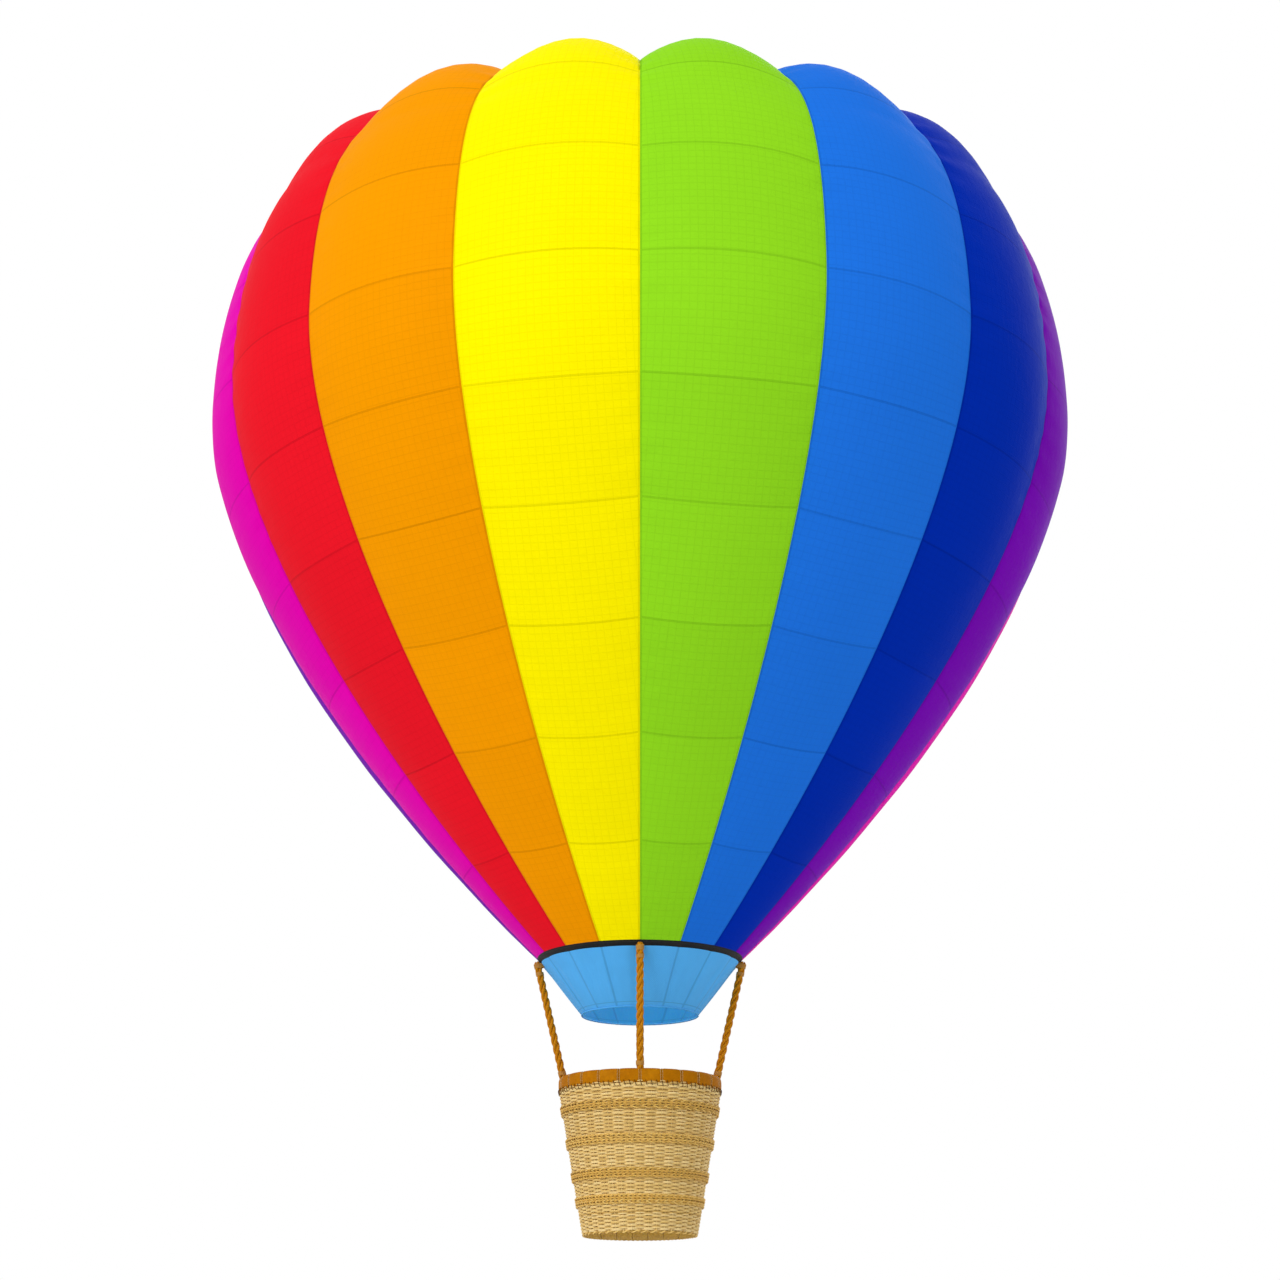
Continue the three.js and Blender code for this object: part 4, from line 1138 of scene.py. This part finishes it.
def board_floor(wood):
    """Boards side by side, cut to the round of the wall, with their edges eased."""
    radius = BASKET_BOTTOM[0] - WALL_THICKNESS - 0.002
    width = 2 * radius / FLOOR_BOARDS
    boards = []
    for k in range(FLOOR_BOARDS):
        left = -radius + k * width + BOARD_GAP / 2
        xs = np.linspace(left, left + width - BOARD_GAP, 9)
        ys = np.sqrt(np.clip(radius**2 - xs**2, 0.0004, None))
        outline = [(x, -y) for x, y in zip(xs, ys)] + [(x, y) for x, y in zip(xs[::-1], ys[::-1])]
        mesh = bmesh.new()
        face = mesh.faces.new([mesh.verts.new((x, y, BASKET_BOTTOM[1])) for x, y in outline])
        grown = bmesh.ops.extrude_face_region(mesh, geom=[face])
        raised = [item for item in grown["geom"] if isinstance(item, bmesh.types.BMVert)]
        bmesh.ops.translate(mesh, vec=(0, 0, FLOOR_THICKNESS), verts=raised)
        level = [edge for edge in mesh.edges if abs(edge.verts[0].co.z - edge.verts[1].co.z) < 1e-6]
        bmesh.ops.bevel(mesh, geom=level, offset=0.003, segments=2, affect="EDGES", profile=0.5)
        bmesh.ops.recalc_face_normals(mesh, faces=mesh.faces)
        points, faces = taken_from(mesh)
        # Each board is sawn from another place in the wood
        pattern = xyz(points[:, 1] + k * 3.1, points[:, 0], points[:, 2] + k)
        boards.append(part(points, faces, pattern))
    piece("floor_boards", joined(boards), wood, "balloon", ["basket_floor"])


# Burner

def build_frame(steel):
    """The frame's ring, its four arms with the pads bolted to the rim, and the gimbal's outer pins."""
    # The rim's solid has 32 flat sides, and the pads lie against them
    face = (RIM_OUTER - RIM_WIDTH) * math.cos(math.pi / 32) - 0.0003
    lift = np.array([0, 0, BURNER_Z])
    parts = [hoop(FRAME_RADIUS, FRAME_TUBE, BURNER_Z)]
    for azimuth in full_turn(4) + math.pi / 4:
        way = np.array([math.cos(azimuth), math.sin(azimuth), 0])
        side = np.array([-way[1], way[0], 0])
        pad = way * (face - PAD[0] / 2) + lift
        parts.append(rounded_box(PAD, pad, 0.003, azimuth))
        for begin, end, radius in (
            (FRAME_RADIUS, face - 0.008, FRAME_TUBE * 0.9),
            (face - 0.026, face - 0.009, FRAME_TUBE * 1.25),
        ):
            parts.append(bar(way * begin + lift, way * end + lift, radius))
        for across, up in PAD_BOLTS:
            parts.append(bolt(pad - way * PAD[0] / 2 + side * across + [0, 0, up], -way))
    for sign in (-1, 1):
        for begin, end, radius in (
            (GIMBAL_RADIUS - PIN_OVERLAP, FRAME_RADIUS, PIN_RADIUS),
            (GIMBAL_RADIUS + 0.024, FRAME_RADIUS - 0.008, BOSS_RADIUS + 0.001),
        ):
            parts.append(bar((sign * begin, 0, BURNER_Z), (sign * end, 0, BURNER_Z), radius))
        parts.append(bolt((sign * (FRAME_RADIUS + 0.018), 0, BURNER_Z), (sign, 0, 0), 0.009, 0.008))
    piece("frame_steelwork", joined(parts), steel, "balloon", ["burner_frame"])


def build_gimbal(steel):
    """The ring between frame and burner, with a hub for each of the four pins."""
    bore, outer, half = PIN_RADIUS + 0.0008, 0.02, 0.021
    ease = 0.002
    hub = turned([(bore, -half), (outer - ease, -half), (outer, ease - half), (outer, half - ease),
                  (outer - ease, half), (bore, half)], 32)
    parts = [hoop(GIMBAL_RADIUS, GIMBAL_TUBE, BURNER_Z)]
    for azimuth in full_turn(4):
        x, y = math.cos(azimuth), math.sin(azimuth)
        parts.append(moved(hub, facing((GIMBAL_RADIUS * x, GIMBAL_RADIUS * y, BURNER_Z), (x, y, 0))))
    piece("gimbal_hoop", joined(parts), steel, "gimbal", ["gimbal_ring"])


def burner_can():
    """A can of rolled sheet: a floor, a groove above it, and a curled lip."""
    radius, height = CAN_RADIUS, CAN_HEIGHT
    groove = radius - 0.003
    outline = [
        (AXIS_GAP, 0),
        (radius - 0.008, 0),
        (radius, CAN_FLOOR),
        (radius, 0.03),
        (groove, 0.034),
        (groove, 0.04),
        (radius, 0.044),
        (radius, height - 0.008),
        (radius + 0.002, height - 0.004),
        (radius, height),
        (radius - CAN_SHEET, height - 0.002),
        (radius - CAN_SHEET, CAN_FLOOR),
        (AXIS_GAP, CAN_FLOOR),
    ]
    return turned(outline, 48, closed=False)


def burner_coil():
    """The coil that turns the fuel to gas, its riser, the ring with its jets, and the pilot's tube."""
    turn = np.linspace(0, 2 * math.pi * COIL_TURNS, COIL_TURNS * 28)
    level = COIL_START + turn / (2 * math.pi) * COIL_PITCH
    coil = xyz(COIL_RADIUS * np.cos(turn), COIL_RADIUS * np.sin(turn), level)
    riser = xyz(COIL_RADIUS, 0.0, np.linspace(CAN_FLOOR, COIL_START, 8))
    parts = [
        swept(coil, COIL_TUBE, 10, (0, 0, 1)),
        swept(riser, COIL_TUBE, 10, (1, 0, 0)),
        hoop(JET_RING_RADIUS, 0.006, JET_RING_LEVEL, 40, 10),
    ]
    for at in full_turn(JETS):
        x, y = JET_RING_RADIUS * math.cos(at), JET_RING_RADIUS * math.sin(at)
        parts.append(bar((x, y, JET_RING_LEVEL + 0.004), (x, y, JET_RING_LEVEL + 0.013), 0.0035, 8))
    parts.append(bar((-0.02, 0, CAN_FLOOR), (-0.02, 0, 0.075), 0.008))
    return joined(parts)


def build_burner(steel, hot_steel, brass, grip):
    """The block with its pins, the valves with their levers, and the two cans."""
    block = [rounded_box(BLOCK, (0, 0, BLOCK_Z), 0.006)]
    for way in (-1, 1):
        for begin, end, radius in (
            (BLOCK[1] / 2 - 0.005, GIMBAL_RADIUS + PIN_OVERLAP, PIN_RADIUS),
            (BLOCK[1] / 2 - 0.001, BLOCK[1] / 2 + 0.02, BOSS_RADIUS),
        ):
            block.append(bar((0, way * begin, BURNER_Z), (0, way * end, BURNER_Z), radius))
        for x in BLOCK_BOLTS:
            block.append(bolt((x, way * BLOCK[1] / 2, BLOCK_Z), (0, way, 0)))
    piece("burner_block", joined(block), steel, "burner", ["burner_base"])
    fittings, levers = [], []
    for x in (-CAN_SPACING / 2, CAN_SPACING / 2):
        fittings.append(rounded_box((VALVE_SIZE, VALVE_SIZE, VALVE_SIZE), (x, 0, VALVE_Z), 0.008))
        # A hexagon and the inlet below it, and a hexagon cap in front and behind
        fittings.append(bar((x, 0, VALVE_Z - VALVE_SIZE / 2), (x, 0, VALVE_Z - 0.048), 0.017, 6))
        fittings.append(bar((x, 0, VALVE_Z - 0.045), (x, 0, VALVE_Z - 0.059), 0.012))
        for way in (-1, 1):
            fittings.append(bar((x, way * 0.028, VALVE_Z), (x, way * 0.046, VALVE_Z), 0.013, 6))
        # A flat lever that ends in a round grip
        levers.append(rounded_box(LEVER, (x, LEVER_MIDDLE, LEVER_Z), 0.0025))
        grip_start = LEVER_MIDDLE - LEVER[1] / 2 + 0.01
        levers.append(bar((x, grip_start, LEVER_Z), (x, grip_start - LEVER_GRIP, LEVER_Z), 0.009))
    piece("valve_blocks", joined(fittings), brass, "burner")
    piece("valve_levers", joined(levers), grip, "burner")
    for name, side in (("left", -1), ("right", 1)):
        stand = Matrix.Translation((side * CAN_SPACING / 2, 0, CAN_BOTTOM))
        piece(f"burner_can_{name}_sheet", moved(burner_can(), stand), hot_steel, "burner",
              [f"burner_can_{name}"])
        piece(f"burner_coil_{name}", moved(burner_coil(), stand), hot_steel, "burner")


# Fuel cylinders, each made standing at the origin, with the wall towards +X

def knuckle(level, *degrees):
    """Outline points of a cylinder's round shoulder about a level, at angles above the way out."""
    turn = np.radians(degrees)
    out = CYLINDER_RADIUS - KNUCKLE_RADIUS + KNUCKLE_RADIUS * np.cos(turn)
    return list(zip(out, level + KNUCKLE_RADIUS * np.sin(turn)))


def cylinder_body():
    """The spun body: a foot ring, a round shoulder at both ends, and the bead over its middle weld."""
    foot_inner, foot_outer = CYLINDER_RADIUS - 0.043, CYLINDER_RADIUS - 0.032
    weld = CYLINDER_HEIGHT / 2
    outline = [
        (AXIS_GAP, 0.03),
        (foot_inner, 0.03),
        (foot_inner, 0.002),
        (CYLINDER_RADIUS - 0.035, 0.0),
        (foot_outer, 0.004),
        (foot_outer, 0.034),
        *knuckle(0.095, -48, -32, -16, 0),
        (CYLINDER_RADIUS, weld - 0.004),
        (CYLINDER_RADIUS + 0.0012, weld),
        (CYLINDER_RADIUS, weld + 0.004),
        *knuckle(CYLINDER_HEIGHT - 0.07, 0, 16, 32, 48, 64),
        (0.02, CYLINDER_HEIGHT + 0.001),
        (AXIS_GAP, CYLINDER_HEIGHT + 0.001),
    ]
    return turned(outline, 64, closed=False)


def cylinder_collar():
    """The guard round the valve, rolled over at its top."""
    inner, bottom = COLLAR_RADIUS - COLLAR_SHEET, CYLINDER_HEIGHT - 0.02
    return turned([(inner, bottom), (COLLAR_RADIUS, bottom), (COLLAR_RADIUS, COLLAR_TOP - 0.006),
                   (COLLAR_RADIUS + 0.003, COLLAR_TOP - 0.003), (COLLAR_RADIUS, COLLAR_TOP),
                   (inner, COLLAR_TOP - 0.002)], 64)


def cylinder_valve():
    """A stem, a cross arm, and the outlet's hexagon."""
    return joined([
        bar((0, 0, CYLINDER_HEIGHT), (0, 0, CYLINDER_HEIGHT + 0.045), 0.014),
        bar((-0.03, 0, VALVE_ARM_LEVEL), (0.03, 0, VALVE_ARM_LEVEL), 0.01),
        bar((0.03, 0, VALVE_ARM_LEVEL), (0.042, 0, VALVE_ARM_LEVEL), 0.013, 6),
    ])


def cylinder_handwheel():
    """A wheel with three bars across it, and its hub."""
    wheel = [hoop(HANDWHEEL_RADIUS, 0.005, HANDWHEEL_LEVEL, 40, 10)]
    for at in full_turn(6)[:3]:
        x, y = HANDWHEEL_RADIUS * math.cos(at), HANDWHEEL_RADIUS * math.sin(at)
        wheel.append(bar((-x, -y, HANDWHEEL_LEVEL), (x, y, HANDWHEEL_LEVEL), 0.003, 8))
    wheel.append(bar((0, 0, HANDWHEEL_LEVEL - 0.012), (0, 0, HANDWHEEL_LEVEL + 0.004), 0.007))
    return joined(wheel)


def cylinder_strap():
    """A strap round the cylinder, whose two ends run on to the wall."""
    begin = math.asin(STRAP_HALF_GAP / (STRAP_RADIUS + STRAP_THICKNESS))
    turn = np.linspace(begin, 2 * math.pi - begin, 72)
    # The face is a little crowned, with eased edges
    level = STRAP_LEVEL + np.array([0, 0.003, STRAP_WIDTH / 2, STRAP_WIDTH - 0.003, STRAP_WIDTH])[:, None]
    crown = 1 + np.array([-0.001, 0, 0.0004, 0, -0.001])[:, None] / STRAP_RADIUS
    face = (STRAP_RADIUS + STRAP_THICKNESS) * crown
    outer = xyz(face * np.cos(turn), face * np.sin(turn), level)
    inner = xyz(STRAP_RADIUS * np.cos(turn), STRAP_RADIUS * np.sin(turn), level)
    parts = [closed_sheet(outer, inner, xyz(turn * STRAP_RADIUS, level, 1.0))]
    near = STRAP_RADIUS * math.cos(begin)
    wall = wall_radius(CYLINDER_FLOOR + STRAP_LEVEL) - WALL_THICKNESS - CYLINDER_DISTANCE
    size = (wall - near, STRAP_THICKNESS, STRAP_WIDTH)
    for side in (-1, 1):
        y = side * (STRAP_HALF_GAP - STRAP_THICKNESS / 2)
        parts.append(rounded_box(size, ((wall + near) / 2, y, STRAP_LEVEL + STRAP_WIDTH / 2), 0.0018))
    return joined(parts)


def strap_buckle():
    """A wire frame and its tongue, on the strap's far side from the wall."""
    centre = np.array([-(STRAP_RADIUS + STRAP_THICKNESS + 0.004), 0, STRAP_LEVEL + STRAP_WIDTH / 2])
    y, z = BUCKLE
    wires = (
        ((0, -y, -z), (0, -y, z)),
        ((0, y, -z), (0, y, z)),
        ((0, -y, -z), (0, y, -z)),
        ((0, -y, z), (0, y, z)),
        ((0, -y, 0), (-0.003, y, 0)),
    )
    return joined([bar(centre + a, centre + b, 0.0032, 10) for a, b in wires])


def build_cylinders(aluminium, leather, brass, grip):
    """Two cylinders with a collar, a valve and a handwheel, each strapped to the wall."""
    for name, sign in (("left", 1), ("right", -1)):
        azimuth = math.pi / 2 + sign * math.radians(CYLINDER_TURN)
        x, y = CYLINDER_DISTANCE * math.cos(azimuth), CYLINDER_DISTANCE * math.sin(azimuth)
        stand = Matrix.Translation((x, y, CYLINDER_FLOOR)) @ Matrix.Rotation(azimuth, 4, "Z")
        for kind, made, finish, slot, replaces, crease in (
            ("cylinder_body", cylinder_body(), aluminium, "aluminium", [f"fuel_cylinder_{name}"], 50),
            ("cylinder_collar", cylinder_collar(), aluminium, "aluminium", [], 35),
            ("cylinder_valve", cylinder_valve(), brass, "aluminium", [], 35),
            ("cylinder_handwheel", cylinder_handwheel(), grip, "aluminium", [], 35),
            ("cylinder_strap", cylinder_strap(), leather, "strap_leather", [f"fuel_strap_{name}"], 35),
            ("strap_buckle", strap_buckle(), brass, "strap_leather", [], 35),
        ):
            piece(f"{kind}_{name}", moved(made, stand), finish, "balloon", replaces, crease)


# Stage

def set_stage(floor_paint):
    """A wide pale floor, pale air all round, and soft lamps high in front and behind."""
    bpy.ops.mesh.primitive_circle_add(
        vertices=96, radius=FLOOR_RADIUS, fill_type="NGON", location=(0, 0, FLOOR_Z)
    )
    floor = bpy.context.object
    floor.name = "floor"
    floor.data.materials.append(floor_paint)
    # The air is seen whiter than the light it gives, so that the cloth keeps its depth of colour
    world = bpy.data.worlds.new("pale_air")
    world.use_nodes = True
    seen = add(world.node_tree, "LightPath").outputs["Is Camera Ray"]
    strength = add(world.node_tree, "MapRange", {0: seen, 3: 0.77, 4: 1.0})
    feed(world.node_tree.nodes["Background"], {"Color": linear("#ffffff"), "Strength": strength})
    bpy.context.scene.world = world
    for name, energy, softness, tilt, turn in (("key", 1.22, 30, 62, -36), ("back", 0.6, 45, 58, 150)):
        lamp = bpy.data.lights.new(name, "SUN")
        lamp.energy = energy
        lamp.angle = math.radians(softness)
        placed(name, lamp).rotation_euler = (math.radians(tilt), 0, math.radians(turn))
    # Thin cloth lets daylight through, and a soft lamp inside the envelope stands in for it
    glow = bpy.data.lights.new("daylight_inside", "POINT")
    glow.energy = 1100
    glow.shadow_soft_size = 1.0
    inside = placed("daylight_inside", glow)
    inside.location = (0, 0, -1.5)
    inside.visible_camera = False
    bpy.context.scene.view_settings.view_transform = "Standard"


def set_camera():
    """The picture's own camera, straight in front and pitched up."""
    camera = bpy.data.cameras.new("camera")
    camera.sensor_width = SENSOR
    camera.lens = SENSOR * FOCAL_PIXELS / PICTURE_PIXELS
    camera.clip_end = 1000
    obj = placed("camera", camera)
    obj.location = CAMERA_PLACE
    obj.rotation_euler = (math.radians(90 + CAMERA_PITCH), 0, 0)
    bpy.context.scene.camera = obj


set_camera()

gore_cloths = [
    (f"gore_{name}", coated_nylon(f"{name}_coated_nylon", colour))
    for name, colour in (
        ("green", "#8fd81f"),
        ("blue", "#1e71e0"),
        ("navy", "#002bac"),
        ("purple", "#7607b1"),
        ("magenta", "#e400ae"),
        ("red", "#e81626"),
        ("orange", "#f39800"),
        ("yellow", "#fff100"),
    )
]
yellow_nylon = gore_cloths[-1][1]
skirt_blue = aramid_cloth("light_blue_aramid", "#52b0f4")
# The skirt's inside is the same aramid as its outside, made darker as painted shade for the dim inside of
# the mouth
skirt_painted_shade_lining = aramid_cloth("painted_shade_blue_aramid", "#1f87c4")
black_webbing = polyester_webbing("black_polyester_webbing", "#08090a", "#26272a")
dark_thread = waxed_thread("dark_waxed_thread", "#2a2b2e")
manila = manila_rope("laid_manila", "#8a5400", "#c27a00", "#dc9c2a")
tan_twine = waxed_thread("tan_waxed_twine", "#c08a34")
rim_hide = split_cowhide("oiled_split_cowhide", "#ad6a00", "#bf7c08")
pale_thread = waxed_thread("pale_waxed_thread", "#e0c894")
tan_willow = peeled_willow("peeled_buff_willow", "#ba9246", "#dfbc70", "#ebd092")
brown_willow = peeled_willow("peeled_brown_willow", "#a57f34", "#dbae50", "#ebc875")
floor_wood = oiled_board("oiled_softwood_board", "#946e22", "#c0973c")
steel = brushed_stainless("brushed_stainless_steel", "#b8babd")
can_span = (CAN_BOTTOM, CAN_BOTTOM + CAN_HEIGHT)
hot_steel = brushed_stainless("flame_tinted_stainless_steel", "#b8babd", heat=can_span)
aluminium = spun_aluminium("spun_aluminium", "#c9ccd0")
brass = cast_brass("cast_brass", "#b58a3a")
strap_hide = split_cowhide("harness_leather", "#5f3a1c", "#7d5230")
red_grip = moulded_nylon("red_moulded_nylon", "#9c1f1a")

sew_gores(gore_cloths)
sew_vent(yellow_nylon)
sew_crown(black_webbing, aluminium, dark_thread)
sew_mouth_band(black_webbing, dark_thread)
sew_skirt(skirt_blue, skirt_painted_shade_lining)
lay_ropes(manila, tan_twine)
weave_wall(tan_willow, brown_willow)
braid_wall(brown_willow)
pad_rim(rim_hide, pale_thread, strap_hide)
board_floor(floor_wood)
build_frame(steel)
build_gimbal(steel)
build_burner(steel, hot_steel, brass, red_grip)
build_cylinders(aluminium, strap_hide, brass, red_grip)
set_stage(painted_floor("matt_floor_paint", "#eceded"))
